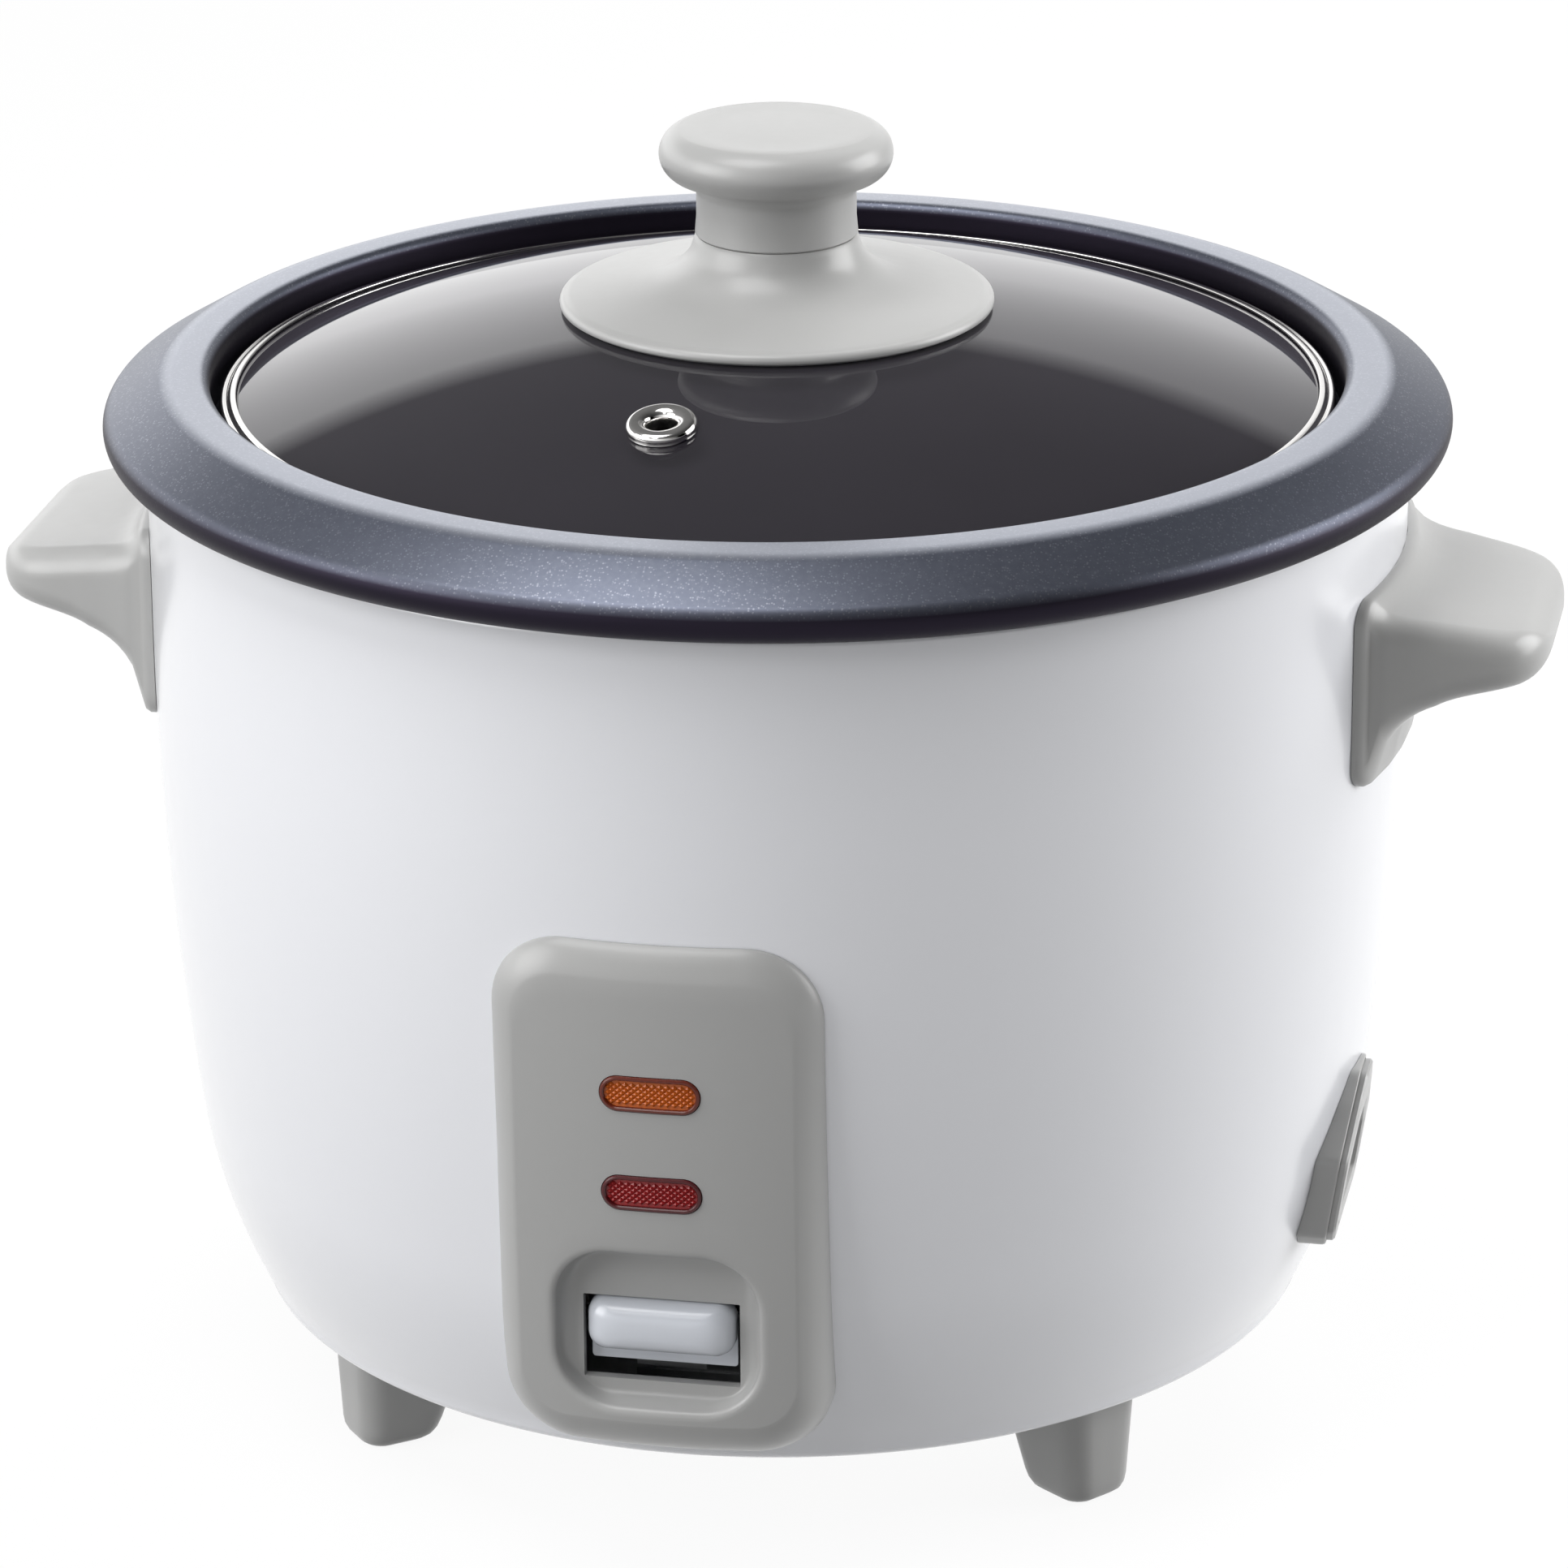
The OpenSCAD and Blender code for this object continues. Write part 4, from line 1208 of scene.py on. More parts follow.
@dataclass
class Handle:
    """One side grip: a flange on the housing and a grip that thins towards a full, round tip."""

    housing: Housing
    tip: float = 137.5
    root: float = 112.6
    grip_from: float = 113.0
    flange_half: float = 32.0
    flange_low: float = 126.5
    flange_high: float = 160.5
    flange_thick: float = 2.4
    # Sections of the flange: off the housing, out from its outline, corner radius.
    flange_steps: tuple[Point3, ...] = (
        (0.1, -0.9, 4.0),
        (0.1, 0.0, 4.5),
        (1.1, 0.0, 4.5),
        (2.0, -0.5, 4.2),
        (2.4, -1.5, 4.0),
    )
    flatten: float = 2.6
    grip_half: float = 27.5
    grip_round: float = 4.0
    round_from: float = 112.0
    # Fillets at the root: height and reach.
    flare: Point2 = (4.0, 4.5)
    nose: float = 5.0
    nose_z: float = 148.6
    round_off: float = 9.0
    edge: float = 4.6
    # Level, fall for each millimetre, and where it is measured from.
    shelf: Point3 = (157.0, 0.156, 110.0)
    shelf_fillet: Point2 = (2.4, 1.6)
    under: Point3 = (143.9, 0.13, 133.0)
    under_sweep: Point2 = (8.6, 3.6)
    under_fillet: Point2 = (3.0, 1.1)

    def build(self) -> None:
        """Makes both handles."""
        for side, sign in (("left", -1), ("right", 1)):
            mesh = bmesh.new()
            loft(mesh, [[(sign * x, y, z) for x, y, z in ring] for ring in self.rings()])
            piece = finish_mesh("grip_" + side, mesh, Slot.GREY, 60)
            put(piece, "cooker", Slot.GREY, "handle_" + side)

    def rings(self) -> list[list[Point3]]:
        """The grip's sections from the housing to its tip.

        Returns:
            The sections' points.
        """
        rings = [self.flange_section(*step) for step in self.flange_steps]
        shoulder = self.tip - self.round_off
        for share in spaced(0.0, 1.0, 18)[1:]:
            x = self.grip_from + (shoulder - self.grip_from) * share
            rings.append(self.grip_section(x, min(1.0, share * self.flatten)))
        for turn in spaced(0.0, 90.0, 16)[1:]:
            a = math.radians(min(turn, 89.6))
            rings.append(self.grip_section(shoulder + self.round_off * math.sin(a), 1.0))
        return rings

    def flange_section(self, off: float, grow: float, r: float) -> list[Point3]:
        """The flange's outline, following the housing.

        Args:
            off: distance from the housing.
            grow: distance out from the flange's outline.
            r: corner radius.

        Returns:
            The outline's points.
        """
        half, low, high = self.flange_half + grow, self.flange_low - grow, self.flange_high + grow
        return [(self.housing.face_x(y, z) + off, y, z) for y, z in outline_box(half, low, high, r)]

    def grip_section(self, x: float, flat: float) -> list[Point3]:
        """The grip's section at a distance from the cooker's middle.

        Args:
            x: distance from the middle plane.
            flat: 0 follows the housing and 1 is a flat section.

        Returns:
            The section's points.
        """
        along = max(0.0, (x - self.round_from) / (self.tip - self.round_from))
        power = self.grip_round
        half = self.grip_half * max(1e-3, 1 - along**power) ** (1 / power)
        half += self.fade(x, self.flare)
        into = max(0.0, (x - (self.tip - self.nose)) / self.nose)
        shrink = math.sqrt(max(0.0, 1 - into * into))
        high = self.nose_z + (self.top_at(x) - self.nose_z) * shrink
        low = self.nose_z + (self.under_at(x) - self.nose_z) * shrink
        r = min(self.edge, (high - low) / 2 - 0.02, half - 0.02)
        ring = []
        for y, z in outline_box(half, low, high, max(0.05, r)):
            close = self.housing.face_x(y, z) + self.flange_thick + (x - self.root) * 0.9
            ring.append((close * (1 - flat) + x * flat, y, z))
        return ring

    def fade(self, x: float, fillet: Point2) -> float:
        """What a (height, reach) fillet at the root still adds at a distance."""
        return fillet[0] * math.exp(-(x - self.root) / fillet[1])

    def top_at(self, x: float) -> float:
        """Height of the shelf: a hollow neck at the flange, then nearly flat."""
        level, fall, start = self.shelf
        return level - fall * (x - start) + self.fade(x, self.shelf_fillet)

    def under_at(self, x: float) -> float:
        """Height of the underside, which sweeps up from the flange and runs out almost straight.

        Args:
            x: distance from the middle plane.

        Returns:
            The height.
        """
        level, fall, end = self.under
        straight = level - fall * (end - x)
        return straight - self.fade(x, self.under_sweep) - self.fade(x, self.under_fillet)


# ---------------------------------------------------------------- feet


@dataclass
class Feet:
    """Four moulded feet, wider at the top towards the middle of the cooker."""

    ring: float = 79.4
    turn: float = 51.5
    height: float = 22.6
    toe_height: float = 3.4
    reach: float = 7.3
    inner_gain: float = 8.6
    outer_gain: float = 0.9
    side: float = 7.0
    side_gain: float = 1.3
    corner: float = 4.4
    # Sections of the toe: height and growth. Sections of the recess: radius and height.
    toe_steps: Steps = ((0.0, -2.4), (0.25, -1.45), (0.95, -0.6), (2.0, -0.15))
    recess_steps: Steps = ((3.6, 9.0), (3.6, 0.4), (3.95, 0.0))

    def build(self) -> None:
        """Makes the four feet."""
        for front in (True, False):
            for right in (True, False):
                self.build_foot(front, right)

    def build_foot(self, front: bool, right: bool) -> None:
        """Makes one foot, with the screw's recess under it.

        Args:
            front: on the panel's side.
            right: on the inlet's side.
        """
        sx, sy = (1 if right else -1), (-1 if front else 1)
        name = f"foot_{'front' if front else 'rear'}_{'right' if right else 'left'}"
        turn = math.radians(self.turn)
        out = Vector((sx * math.sin(turn), sy * math.cos(turn)))
        along = Vector((-out.y, out.x)) * (1 if sx * sy < 0 else -1)
        centre = out * self.ring

        def stand(points: Sequence[Point2], z: float) -> list[Point3]:
            """A flat (outwards, sideways) section, stood in its place at a height."""
            return [(*(centre + out * u + along * v), z) for u, v in points]

        rings = [stand(self.recess_section(r), z) for r, z in self.recess_steps]
        leg = [(z, 0.0) for z in spaced(self.toe_height, self.height, 8)]
        rings += [stand(self.leg_section(z, grow), z) for z, grow in [*self.toe_steps, *leg]]
        mesh = bmesh.new()
        loft(mesh, rings)
        moulding = finish_mesh(name + "_moulding", mesh, Slot.GREY, 40)
        put(moulding, "cooker", Slot.GREY, name)

    def leg_section(self, z: float, grow: float) -> list[Point2]:
        """The leg's section at a height.

        Args:
            z: the height.
            grow: distance out from the leg's straight sides.

        Returns:
            (outwards, sideways) points.
        """
        share = z / self.height
        inner = self.reach + self.inner_gain * share + grow
        outer = self.reach + self.outer_gain * share + grow
        side = self.side + self.side_gain * share + grow
        box = outline_box((outer + inner) / 2, -side, side, self.corner + grow * 0.8, 6, 3)
        return [(u + (outer - inner) / 2, v) for u, v in box]

    def recess_section(self, r: float) -> list[Point2]:
        """A round section with as many points as the leg's."""
        box = outline_box(self.side, -self.side, self.side, self.corner, 6, 3)
        return [tuple(Vector(p).normalized() * r) for p in box]


# ---------------------------------------------------------------- control panel


@dataclass
class Panel:
    """The moulded control panel with its lens holes and the lever's pocket."""

    housing: Housing
    half: float = 28.0
    low: float = 27.0
    high: float = 122.0
    corner: float = 13.0
    wall: float = 2.2
    front: float = 113.6
    bow_from: float = 118.0
    front_bow: float = 1100.0
    # Width of the soft edge at the sides, the top and the bottom.
    soft: Point3 = (4.2, 5.6, 8.5)
    bevel: float = 0.45
    roll: float = 4.6
    low_roll: float = 4.2
    low_roll_from: float = 48.0
    low_roll_span: float = 20.0
    roll_share: float = 0.86
    land: float = 1.6
    base_gap: float = 0.06
    back_gap: float = 1.6
    # Outlines: half width, lowest and highest height, corner radius.
    pocket: Box = (17.3, 38.0, 67.0, 10.0)
    # Rings of the pocket's rim: growth and depth.
    pocket_rim: Steps = ((1.1, 0.05), (0.6, 0.2), (0.25, 0.5), (0.05, 0.9))
    pocket_foot: Box = (14.1, 39.5, 63.8, 3.9)
    pocket_floor: float = 106.0
    floor_thick: float = 1.8
    window: Box = (13.4, 41.4, 56.6, 0.25)
    lens: Point2 = (8.6, 3.25)
    lens_gap: float = 0.12
    lens_heights: Point2 = (96.6, 78.6)
    drill_reach: Point2 = (-120.0, -104.0)
    # Rings of the lens's rim: distance in from its edge and out from the panel's face.
    lens_steps: Steps = (
        (0.0, -3.0),
        (0.0, 0.05),
        (0.1, 0.28),
        (0.3, 0.38),
        (0.55, 0.38),
        (0.72, 0.2),
        (0.78, -0.2),
    )
    prism_pitch: float = 1.02
    prism_stretch: float = 1.15
    prism_half: Point2 = (0.56, 0.49)
    prism_high: float = 0.36
    prism_deep: float = 0.2
    prism_margin: float = 0.35

    def ring_box(self, half: float, low: float, high: float, r: float) -> list[Point2]:
        """A round-cornered rectangle with the panel's count of points."""
        return outline_box(half, low, high, r, 14, 12)

    def front_at(self, z: float) -> float:
        """Radius of the front face at a height."""
        return self.front - max(0.0, self.bow_from - z) ** 2 / (2 * self.front_bow)

    @staticmethod
    def on_round(x: float, z: float, radius: float) -> Point3:
        """The point in front of the axis at a distance across, a height and a radius."""
        return (x, -math.sqrt(radius * radius - x * x), z)

    def box(self, share: float) -> list[Point2]:
        """The panel's outline moved in by a share of its soft edge.

        Args:
            share: 0 is the foot of the soft edge and 1 its end on the front face.

        Returns:
            (across, height) points.
        """
        side, top, bottom = (s * share for s in self.soft)
        r = max(4.0, self.corner - (side + top) / 2)
        return self.ring_box(self.half - side, self.low + bottom, self.high - top, r)

    def edge_ring(self, turn: float) -> list[Point3]:
        """A ring on the panel's rolled edge.

        Args:
            turn: 0 degrees is upright on the housing and 90 degrees lies on the front face.

        Returns:
            The ring's points.
        """
        a, share, flat = math.radians(turn), turn / 90, self.bevel
        points = []
        for x, z in self.box((1 - flat) * (1 - math.cos(a)) + flat * share):
            front, back = self.front_at(z), self.housing.at(z)
            lower = max(0.0, min(1.0, (self.low_roll_from - z) / self.low_roll_span))
            roll = min(self.roll + self.low_roll * lower, (front - back) * self.roll_share)
            depth = roll * (1 - (1 - flat) * math.sin(a) - flat * share)
            points.append(self.on_round(x, z, front - depth))
        return points

    def base_ring(self, inset: float, off: float) -> list[Point3]:
        """A ring on the housing.

        Args:
            inset: distance in from the panel's outline.
            off: distance out from the housing.

        Returns:
            The ring's points.
        """
        low, high = self.low + inset, self.high - inset
        box = self.ring_box(self.half - inset, low, high, self.corner - inset)
        return [self.on_round(x, z, self.housing.at(z) + off) for x, z in box]

    def between(self, share: float, depth: float) -> list[Point3]:
        """A ring between the panel's soft edge and the pocket's rim.

        Args:
            share: 0 is at the edge and 1 at the rim.
            depth: distance behind the front face.

        Returns:
            The ring's points.
        """
        (half, low, high, r), land = self.pocket, self.land
        inner = self.ring_box(half + land, low - land, high + land, r + land)
        points = []
        for (xa, za), (xb, zb) in zip(self.box(1.0), inner):
            x, z = xa + (xb - xa) * share, za + (zb - za) * share
            points.append(self.on_round(x, z, self.front_at(z) - depth))
        return points

    def pocket_ring(self, grow: float, turn: float, depth: float) -> list[Point3]:
        """A ring on the pocket's wall, which runs from its rim to its foot in a quarter round.

        Args:
            grow: distance out from the pocket's outline at the rim.
            turn: 0 degrees at the front face and 90 degrees at the pocket's floor.
            depth: distance behind the front face at the rim.

        Returns:
            The ring's points.
        """
        a = math.radians(turn)
        inward, share = 1 - math.cos(a), math.sin(a)
        sizes = zip(self.pocket, self.pocket_foot)
        half, low, high, r = (rim + (foot - rim) * inward for rim, foot in sizes)
        points = []
        for x, z in self.ring_box(half + grow, low - grow, high + grow, r + grow):
            front = -self.on_round(x, z, self.front_at(z) - depth)[1]
            points.append((x, -(front + (self.pocket_floor - front) * share), z))
        return points

    def window_ring(self, y: float) -> list[Point3]:
        """The window's square outline at a distance from the axis."""
        return [(x, -y, z) for x, z in self.ring_box(*self.window)]

    def build(self) -> None:
        """Makes the moulding as one closed skin, cuts the lens holes and adds the lenses."""
        t, back = self.wall, self.pocket_floor - self.floor_thick
        rings = [self.base_ring(0.0, self.base_gap)]
        rings += [self.edge_ring(turn) for turn in spaced(0, 90, 10)]
        rings += [self.between(share, 0.0) for share in spaced(0, 1, 14)[1:]]
        rings += [self.pocket_ring(grow, 0.0, depth) for grow, depth in self.pocket_rim]
        sunk = self.pocket_rim[-1][1]
        rings += [self.pocket_ring(0.0, 90 * s, sunk * (1 - s)) for s in spaced(0, 1, 10)[1:]]
        rings += [self.window_ring(self.pocket_floor), self.window_ring(back)]
        foot = self.pocket_ring(t - 0.6, 90.0, 0.0)
        rings.append([(x, y + self.floor_thick, z) for x, y, z in foot])
        rings += [self.pocket_ring(t, 27.0, t), self.between(0.9, t), self.between(0.45, t)]
        rings += [self.between(0.0, t), self.base_ring(t, self.back_gap)]
        rings.append(self.base_ring(t, self.base_gap))
        mesh = bmesh.new()
        loft(mesh, rings, closed=True)
        moulding = finish_mesh("panel_moulding", mesh, Slot.GREY, 38)
        cut(moulding, [self.lens_drill(z) for z in self.lens_heights])
        put(moulding, "cooker", Slot.GREY, "control_panel")
        self.build_lens("keep_warm", self.lens_heights[0], Slot.ORANGE_LENS)
        self.build_lens("cook", self.lens_heights[1], Slot.RED_LENS)

    def lens_drill(self, z: float) -> bpy.types.Object:
        """The block that cuts one lens hole.

        Args:
            z: the hole's height.

        Returns:
            The block.
        """
        across, up = self.lens
        side = outline_box(across, z - up, z + up, up - 0.02, 12, 4)
        drill = bmesh.new()
        loft(drill, [[(x, y, h) for x, h in side] for y in self.drill_reach])
        return finish_mesh("lens_drill", drill, Slot.GREY)

    def build_lens(self, name: str, z: float, slot: Slot) -> None:
        """Makes a lens: a dark raised rim round a sunk field of small prisms.

        Args:
            name: which lamp it covers.
            z: its height.
            slot: its finish.
        """
        across, up = self.lens[0] - self.lens_gap, self.lens[1] - self.lens_gap
        face, (wall, drop) = self.front_at(z), self.lens_steps[-1]
        slant = math.tan(math.atan2(self.front_at(z + 2) - self.front_at(z - 2), 4))

        def lens_y(x: float, h: float, out: float) -> float:
            """Depth of the bowed lens at an offset from its middle, out from its face."""
            return -(face + out + h * slant - x * x / (2 * face))

        def ring(inset: float, out: float) -> list[Point3]:
            """The lens outline at a step of its rim.

            Args:
                inset: distance in from the lens's edge.
                out: distance out from its face.

            Returns:
                The outline's points.
            """
            half, high = across - inset, up - inset
            side = outline_box(half, -high, high, max(0.1, high - 0.02), 12, 4)
            return [(x, lens_y(x, h, out), z + h) for x, h in side]

        rings = [ring(*step) for step in self.lens_steps]
        mesh = bmesh.new()
        loft(mesh, rings)
        mesh.faces.ensure_lookup_table()
        for item in mesh.faces[: len(rings[0]) * (len(rings) - 1)]:
            item.material_index = 1
        self.add_prisms(mesh, across - wall, up - wall, lambda x, h: lens_y(x, h, drop), z)
        lens = finish_mesh("lens_" + name + "_moulding", mesh, slot, 20)
        lens.data.materials.append(LENS_RIMS[slot])
        put(lens, "cooker", slot, "lens_" + name)

    def add_prisms(
        self,
        mesh: bmesh.types.BMesh,
        across: float,
        up: float,
        field_y: Callable[[float, float], float],
        z: float,
    ) -> None:
        """Adds rows of small four-sided prisms over a stadium field.

        Args:
            mesh: the lens's mesh.
            across: half length of the field.
            up: half height of the field.
            field_y: y of the field at an offset from its middle.
            z: height of the field's middle.
        """
        pitch, (wide, tall) = self.prism_pitch, self.prism_half
        rows, columns = int(up / pitch * 2) + 1, int(across / pitch * 2) + 1
        for i in range(-columns, columns + 1):
            for j in range(-rows, rows + 1):
                x, h = i * pitch / 2 * self.prism_stretch, j * pitch / 2
                from_end = math.hypot(max(0.0, abs(x) - (across - up)), h)
                outside = from_end > up - self.prism_margin
                if (i + j) % 2 or outside:  # every other place, in a chequer
                    continue
                y = field_y(x, h)
                foot = y - 0.02
                corners = [(x - wide, foot, z + h), (x, foot, z + h - tall)]
                corners += [(x + wide, foot, z + h), (x, foot, z + h + tall)]
                peaks = [(x, y - self.prism_high, z + h), (x, y + self.prism_deep, z + h)]
                verts = [mesh.verts.new(p) for p in corners + peaks]
                for k in range(4):
                    mesh.faces.new((verts[k], verts[(k + 1) % 4], verts[4]))
                    mesh.faces.new((verts[(k + 1) % 4], verts[k], verts[5]))


@dataclass
class Paddle:
    """The white cook key in the panel's window, with its leg to the steel arm."""

    half: float = 12.6
    low: float = 47.2
    high: float = 56.4
    lean: float = 0.06
    corner: float = 2.9
    corner_least: float = 0.6
    corner_share: float = 0.35
    side_share: float = 1.45
    low_share: float = 0.8
    high_share: float = 0.9
    # Sections of the key: depth and distance in from its full outline.
    profile: Steps = (
        (-103.0, 0.5),
        (-103.2, 0.1),
        (-104.5, 0.0),
        (-106.2, 0.05),
        (-107.4, 0.35),
        (-108.3, 0.95),
        (-108.95, 1.8),
        (-109.3, 2.7),
        (-109.5, 3.9),
    )
    # Blocks behind the key: half width, lowest and highest height, and their two ends.
    plate: tuple[float, ...] = (12.5, 44.0, 53.0, -103.4, -100.9)
    leg: tuple[float, ...] = (6.0, 44.0, 46.2, -101.0, -88.0)
    hook: tuple[float, ...] = (6.0, 42.05, 44.1, -96.0, -88.0)

    def section(self, y: float, inset: float) -> list[Point3]:
        """The key's outline at a depth.

        Args:
            y: the depth.
            inset: distance in from the key's full outline.

        Returns:
            The outline's points.
        """
        middle = (self.low + self.high) / 2
        low, high = self.low + inset * self.low_share, self.high - inset * self.high_share
        corner = max(self.corner_least, self.corner - inset * self.corner_share)
        corner = min(corner, (high - low) / 2 - 0.05)
        side = outline_box(self.half - inset * self.side_share, low, high, corner, 8, 6)
        return [(x, y + self.lean * max(0.0, z - middle), z) for x, z in side]

    def build(self) -> None:
        """Makes the pillow-shaped key and its leg."""
        mesh = bmesh.new()
        loft(mesh, [self.section(y, inset) for y, inset in self.profile])
        for half, low, high, *ends in (self.plate, self.leg, self.hook):
            side = outline_box(half, low, high, self.corner_least, 3, 1)
            loft(mesh, [[(x, y, z) for x, z in side] for y in ends])
        key = finish_mesh("cook_key", mesh, Slot.WHITE)
        put(key, "cook_lever", Slot.WHITE, "lever_paddle")


# ---------------------------------------------------------------- inlet


@dataclass
class Inlet:
    """The power inlet on the right side: a cover, a raised bezel and a socket with cut corners."""

    housing: Housing
    across: float = -11.5
    half: float = 17.5
    low: float = 39.2
    height: float = 29.2
    face: float = 102.2
    lean: float = 8.7
    # Rings of the cover and of the socket: distance in or out, and back from the face.
    cover_steps: Steps = (
        (0.0, 0.5),
        (0.1, 0.15),
        (0.25, 0.0),
        (0.45, 0.0),
        (0.5, 0.7),
        (0.65, 0.7),
        (0.65, -1.0),
        (0.95, -1.4),
        (1.5, -1.5),
    )
    socket_steps: Steps = ((1.0, -1.5), (0.3, -1.2), (0.0, -0.4))
    base_gap: float = 0.06
    socket: Point3 = (12.0, 43.5, 15.5)
    socket_corner: float = 7.0
    socket_floor: float = 91.0
    points: int = 112

    def outline(self, inset: float) -> list[Point2]:
        """The cover's outline moved in: square below, cut corners above.

        Args:
            inset: distance in from the cover's edge.

        Returns:
            (y, z) points.
        """
        h, low, high = self.half - inset, self.low + inset, self.low + self.height - inset
        below = [(h - 3, low, 0.8), (h, low + 3, 0.8)]
        return self.mirrored(below + [(h, high - 12, 1.5), (h - 8, high - 4, 3), (h - 13, high, 2)])

    def socket_outline(self, out: float) -> list[Point2]:
        """The socket's outline moved out.

        Args:
            out: distance out from the socket's edge.

        Returns:
            (y, z) points.
        """
        half, low, height = self.socket
        h, base, top = half + out, low - out, low + height + out
        corner = self.socket_corner + 0.6 * out
        return self.mirrored([(h, base, 1.0), (h, top - corner, 0.8), (h - corner, top, 0.8)])

    def mirrored(self, right: Sequence[Point3]) -> list[Point2]:
        """A closed outline from the rounded corners of its right half."""
        left = [(-y, z, r) for y, z, r in reversed(right)]
        return self.spread(rounded([*right, *left], 4))

    def spread(self, points: Sequence[Point2]) -> list[Point2]:
        """The same closed outline with evenly spaced points, moved to the inlet's middle.

        Args:
            points: the outline.

        Returns:
            The new outline, starting where the old one does.
        """
        loop = [Vector(p) for p in points] + [Vector(points[0])]
        lengths = [(b - a).length for a, b in zip(loop, loop[1:])]
        total, made = sum(lengths), []
        for i in range(self.points):
            want, k = total * i / self.points, 0
            while want > lengths[k]:
                want -= lengths[k]
                k += 1
            share = want / lengths[k] if lengths[k] else 0.0
            y, z = loop[k].lerp(loop[k + 1], share)
            made.append((y + self.across, z))
        return made

    def at_face(self, points: Sequence[Point2], back: float) -> list[Point3]:
        """Points on the leaning face, moved back into the cover."""
        slope = math.tan(math.radians(self.lean))
        return [(self.face + (z - self.low) * slope - back, y, z) for y, z in points]

    def build(self) -> None:
        """Makes the cover, the bezel and the socket in one skin."""
        gap = self.base_gap
        rings = [[(self.housing.face_x(y, z) + gap, y, z) for y, z in self.outline(0.0)]]
        rings += [self.at_face(self.outline(inset), back) for inset, back in self.cover_steps]
        rings += [self.at_face(self.socket_outline(out), back) for out, back in self.socket_steps]
        rings.append([(self.socket_floor, y, z) for y, z in self.socket_outline(0.0)])
        mesh = bmesh.new()
        loft(mesh, rings)
        put(finish_mesh("inlet_cover", mesh, Slot.GREY), "cooker", Slot.GREY, "power_inlet")


# ---------------------------------------------------------------- studio


@dataclass(frozen=True)
class Lamp:
    """One soft square lamp, its places in metres and its power in watts."""

    name: str
    place: Point3
    size: float
    watts: float
    aim: Point3 = (0, 0, 0.10)
    mirrored: bool = True

    def build(self) -> None:
        """Hangs the lamp and turns it to its aim."""
        data = bpy.data.lights.new(self.name, "AREA")
        data.shape = "SQUARE"
        data.size = self.size
        data.energy = self.watts
        lamp = link(self.name, data)
        lamp.location = self.place
        lamp.rotation_mode = "QUATERNION"
        way = Vector(self.aim) - Vector(self.place)
        lamp.rotation_quaternion = way.to_track_quat("-Z", "Y")
        lamp.visible_glossy = self.mirrored


LAMPS = (
    Lamp("left_lamp", (-1.10, -0.74, 0.62), 1.0, 11.5),
    Lamp("right_lamp", (1.22, 0.42, 0.52), 0.9, 15.5),
    Lamp("top_lamp", (-0.32, -0.38, 1.36), 0.8, 10.5),
    Lamp("rear_lamp", (0.45, 0.85, 1.10), 0.8, 10.0, mirrored=False),
    Lamp("front_lamp", (-0.30, -1.15, 1.10), 0.28, 0.9, (0, 0, 0.15)),
)


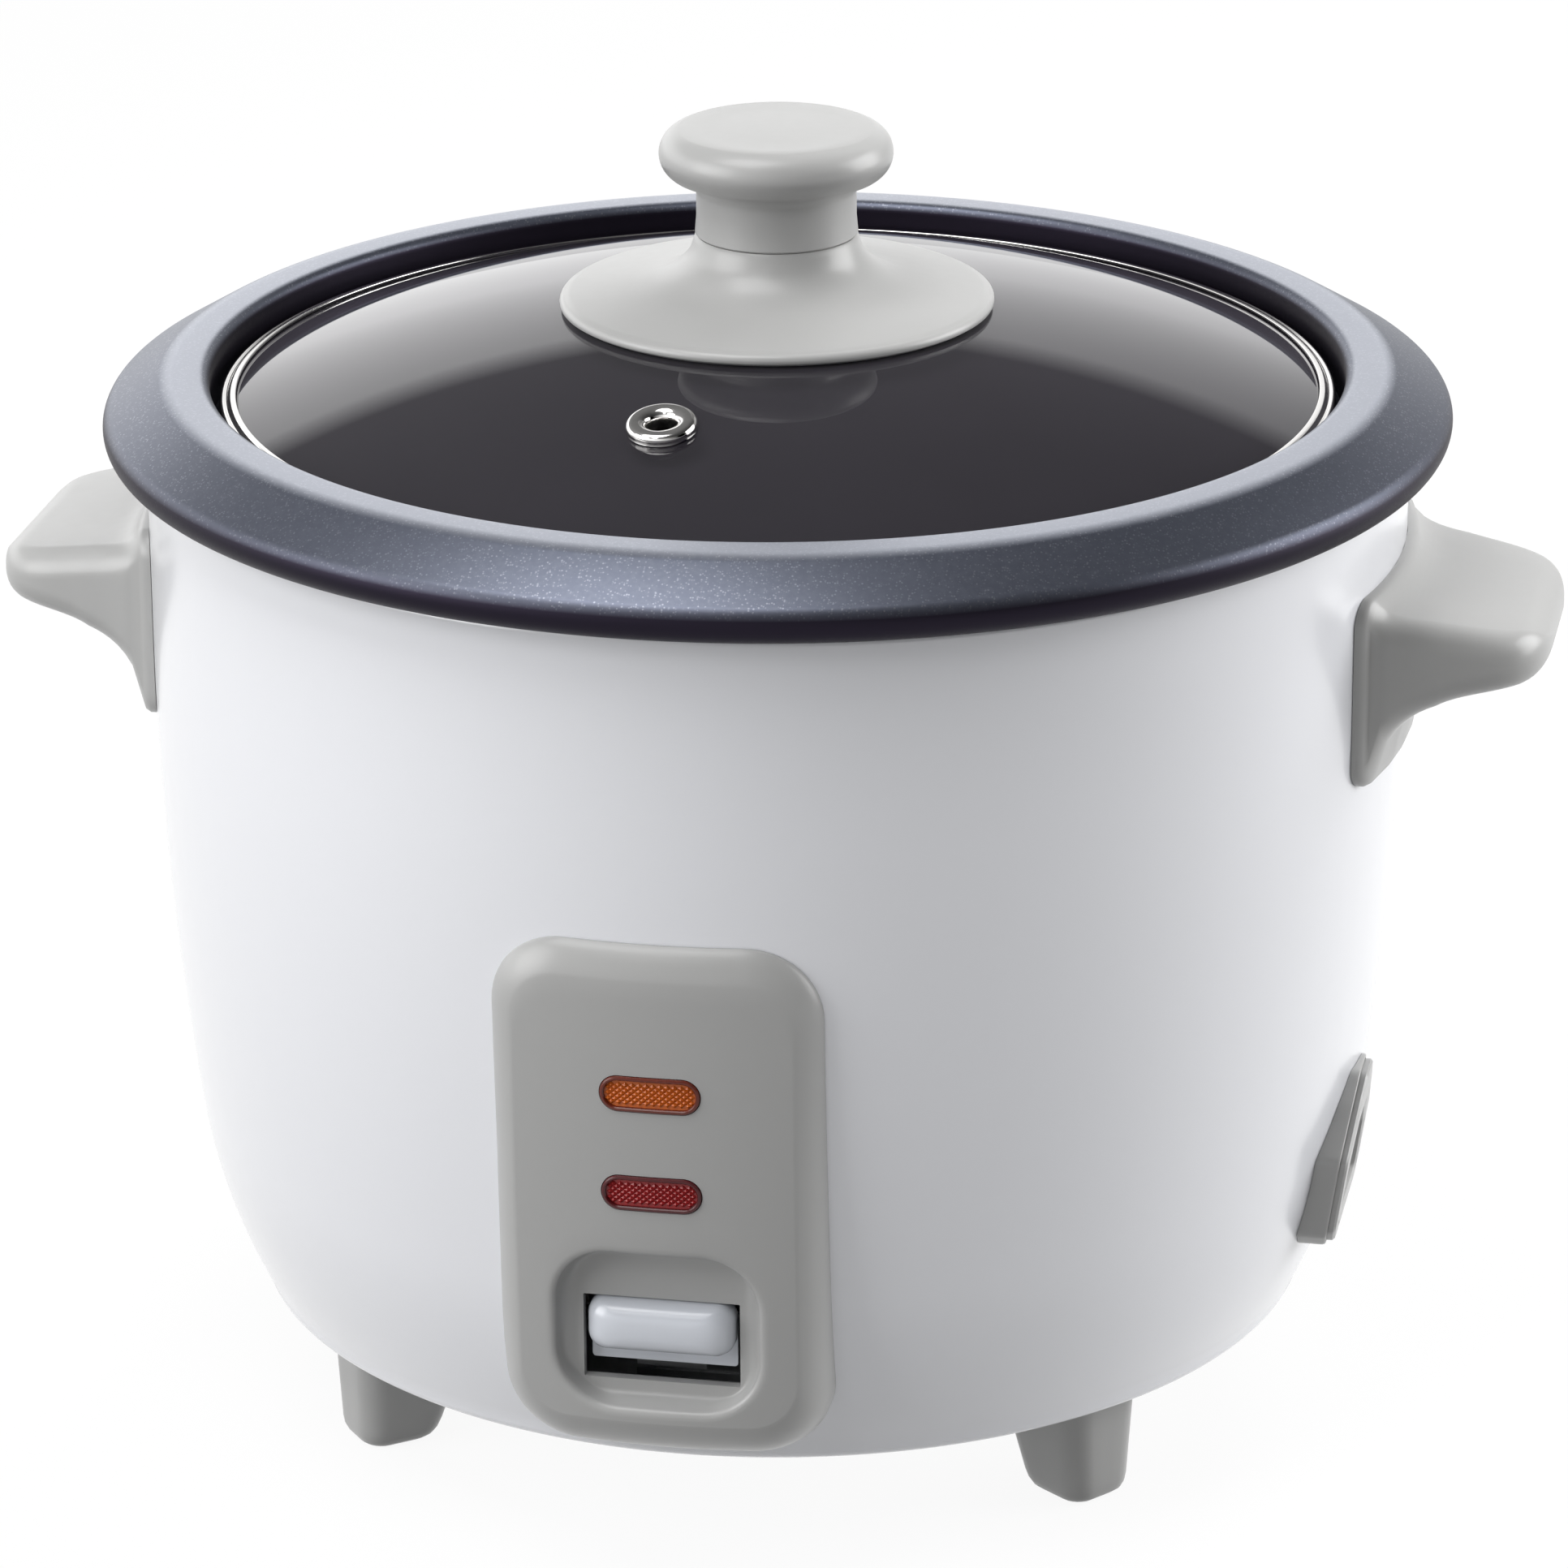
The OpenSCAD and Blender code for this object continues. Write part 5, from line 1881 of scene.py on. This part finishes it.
@dataclass
class Studio:
    """The pale floor, the surround, the soft lamps and the camera."""

    # Millimetres and degrees.
    target: Point3 = (0.66, 0.13, 109.5)
    distance: float = 1295.9
    azimuth: float = 11.1
    elevation: float = 20.573
    roll: float = -0.366
    lens: float = 166.92
    sensor: float = 36.0
    clip: Point2 = (0.05, 50.0)
    floor_half: float = 4000.0
    floor_lit: float = 0.27
    floor_seen: float = 0.95
    glow: float = 0.92
    glow_from: float = 0.6
    glow_gain: float = 0.06
    world_level: float = 0.22
    dark_from: float = 0.40
    dark_edge: float = 16.0
    dark_share: float = 0.86
    mirror_level: float = 1.1
    mirror_slope: float = 1.3

    def build(self) -> None:
        """Makes the whole studio."""
        self.build_camera()
        self.build_floor()
        self.build_world()
        for lamp in LAMPS:
            lamp.build()

    def build_camera(self) -> None:
        """Places the camera on its arc round the cooker."""
        a, e = math.radians(self.azimuth), math.radians(self.elevation)
        back = Vector((math.sin(a) * math.cos(e), -math.cos(a) * math.cos(e), math.sin(e)))
        camera = link("camera", bpy.data.cameras.new("camera"))
        camera.data.sensor_width = self.sensor
        camera.data.lens = self.lens
        camera.data.clip_start, camera.data.clip_end = self.clip
        camera.location = (Vector(self.target) + back * self.distance) * MM
        camera.rotation_mode = "QUATERNION"
        rolled = Quaternion((0, 0, 1), math.radians(self.roll))
        camera.rotation_quaternion = (-back).to_track_quat("-Z", "Y") @ rolled
        bpy.context.scene.camera = camera

    def build_floor(self) -> None:
        """Makes a plain pale floor that keeps the cooker's shadow and shows white when seen."""
        mesh = bmesh.new()
        bmesh.ops.create_grid(mesh, x_segments=8, y_segments=8, size=self.floor_half)
        data = bpy.data.meshes.new("floor")
        bmesh.ops.scale(mesh, vec=(MM, MM, MM), verts=mesh.verts)
        mesh.to_mesh(data)
        mesh.free()
        floor = link("floor", data)
        g = Graph("pale_floor")
        seen = g.seen_directly()
        tone = g.blend(seen, (self.floor_lit,) * 3, (self.floor_seen,) * 3)
        g.finish(Base_Color=tone, Roughness=0.9, Specular_IOR_Level=0.0)
        length = g.add("ShaderNodeVectorMath", {"operation": "LENGTH"}, {0: g.place()})
        away = Num(g, length.outputs["Value"])
        lit = seen * (self.glow + ((away - self.glow_from) * self.glow_gain).clipped())
        white = {"Color": (1.0, 1.0, 1.0, 1.0), "Strength": 1.0}
        glow = g.add("ShaderNodeEmission", {}, white)
        ends = {0: lit, 1: g.shader.outputs[0], 2: glow.outputs[0]}
        g.feed(g.out.inputs[0], g.add("ShaderNodeMixShader", {}, ends).outputs[0])
        data.materials.append(g.material)

    def build_world(self) -> None:
        """Makes the surround: even light, white behind, and dark overhead in reflections."""
        world = bpy.data.worlds.new("studio")
        bpy.context.scene.world = world
        world.use_nodes = True
        g = Graph("studio", world.node_tree, "ShaderNodeBackground", "ShaderNodeOutputWorld")
        across, _, height = g.axes(g.add("ShaderNodeTexCoord", {}, {}).outputs["Generated"])
        shade = ((height - self.dark_from) * self.dark_edge).clipped()
        dim = 1.0 - shade * self.dark_share
        mirrored = (self.mirror_level - across * self.mirror_slope) * dim
        path = g.add("ShaderNodeLightPath", {}, {}).outputs
        glossy, direct = Num(g, path["Is Glossy Ray"]), g.seen_directly()
        white = (direct - glossy).clipped() * (1 - self.world_level)
        level = self.world_level + white + glossy * (mirrored - self.world_level)
        g.feed(g.shader.inputs["Color"], (1.0, 1.0, 1.0, 1.0))
        g.feed(g.shader.inputs["Strength"], level)


# ---------------------------------------------------------------- carried-over nodes


def dress_nodes() -> None:
    """Gives each shown CAD node the finish of its slot in the record."""
    subparts = frame["record"]["subparts"]
    slots = {entry["node"]: Slot(entry["material_slot"]) for entry in subparts}
    for name, node in frame["nodes"].items():
        node.data.materials.clear()
        node.data.materials.append(MATERIALS[slots[name]])
        LOG.info("%s: %s", name, slots[name].value)


def main() -> None:
    """Builds the cooker piece by piece, with the studio round it."""
    logging.basicConfig(level=logging.INFO, format="%(message)s")
    bpy.context.scene.view_settings.view_transform = "Standard"
    dress_nodes()
    Studio().build()
    housing = Housing()
    housing.build()
    Pot().build()
    Lid().build()
    Handle(housing).build()
    Feet().build()
    Panel(housing).build()
    Paddle().build()
    Inlet(housing).build()


if __name__ == "__main__":
    main()
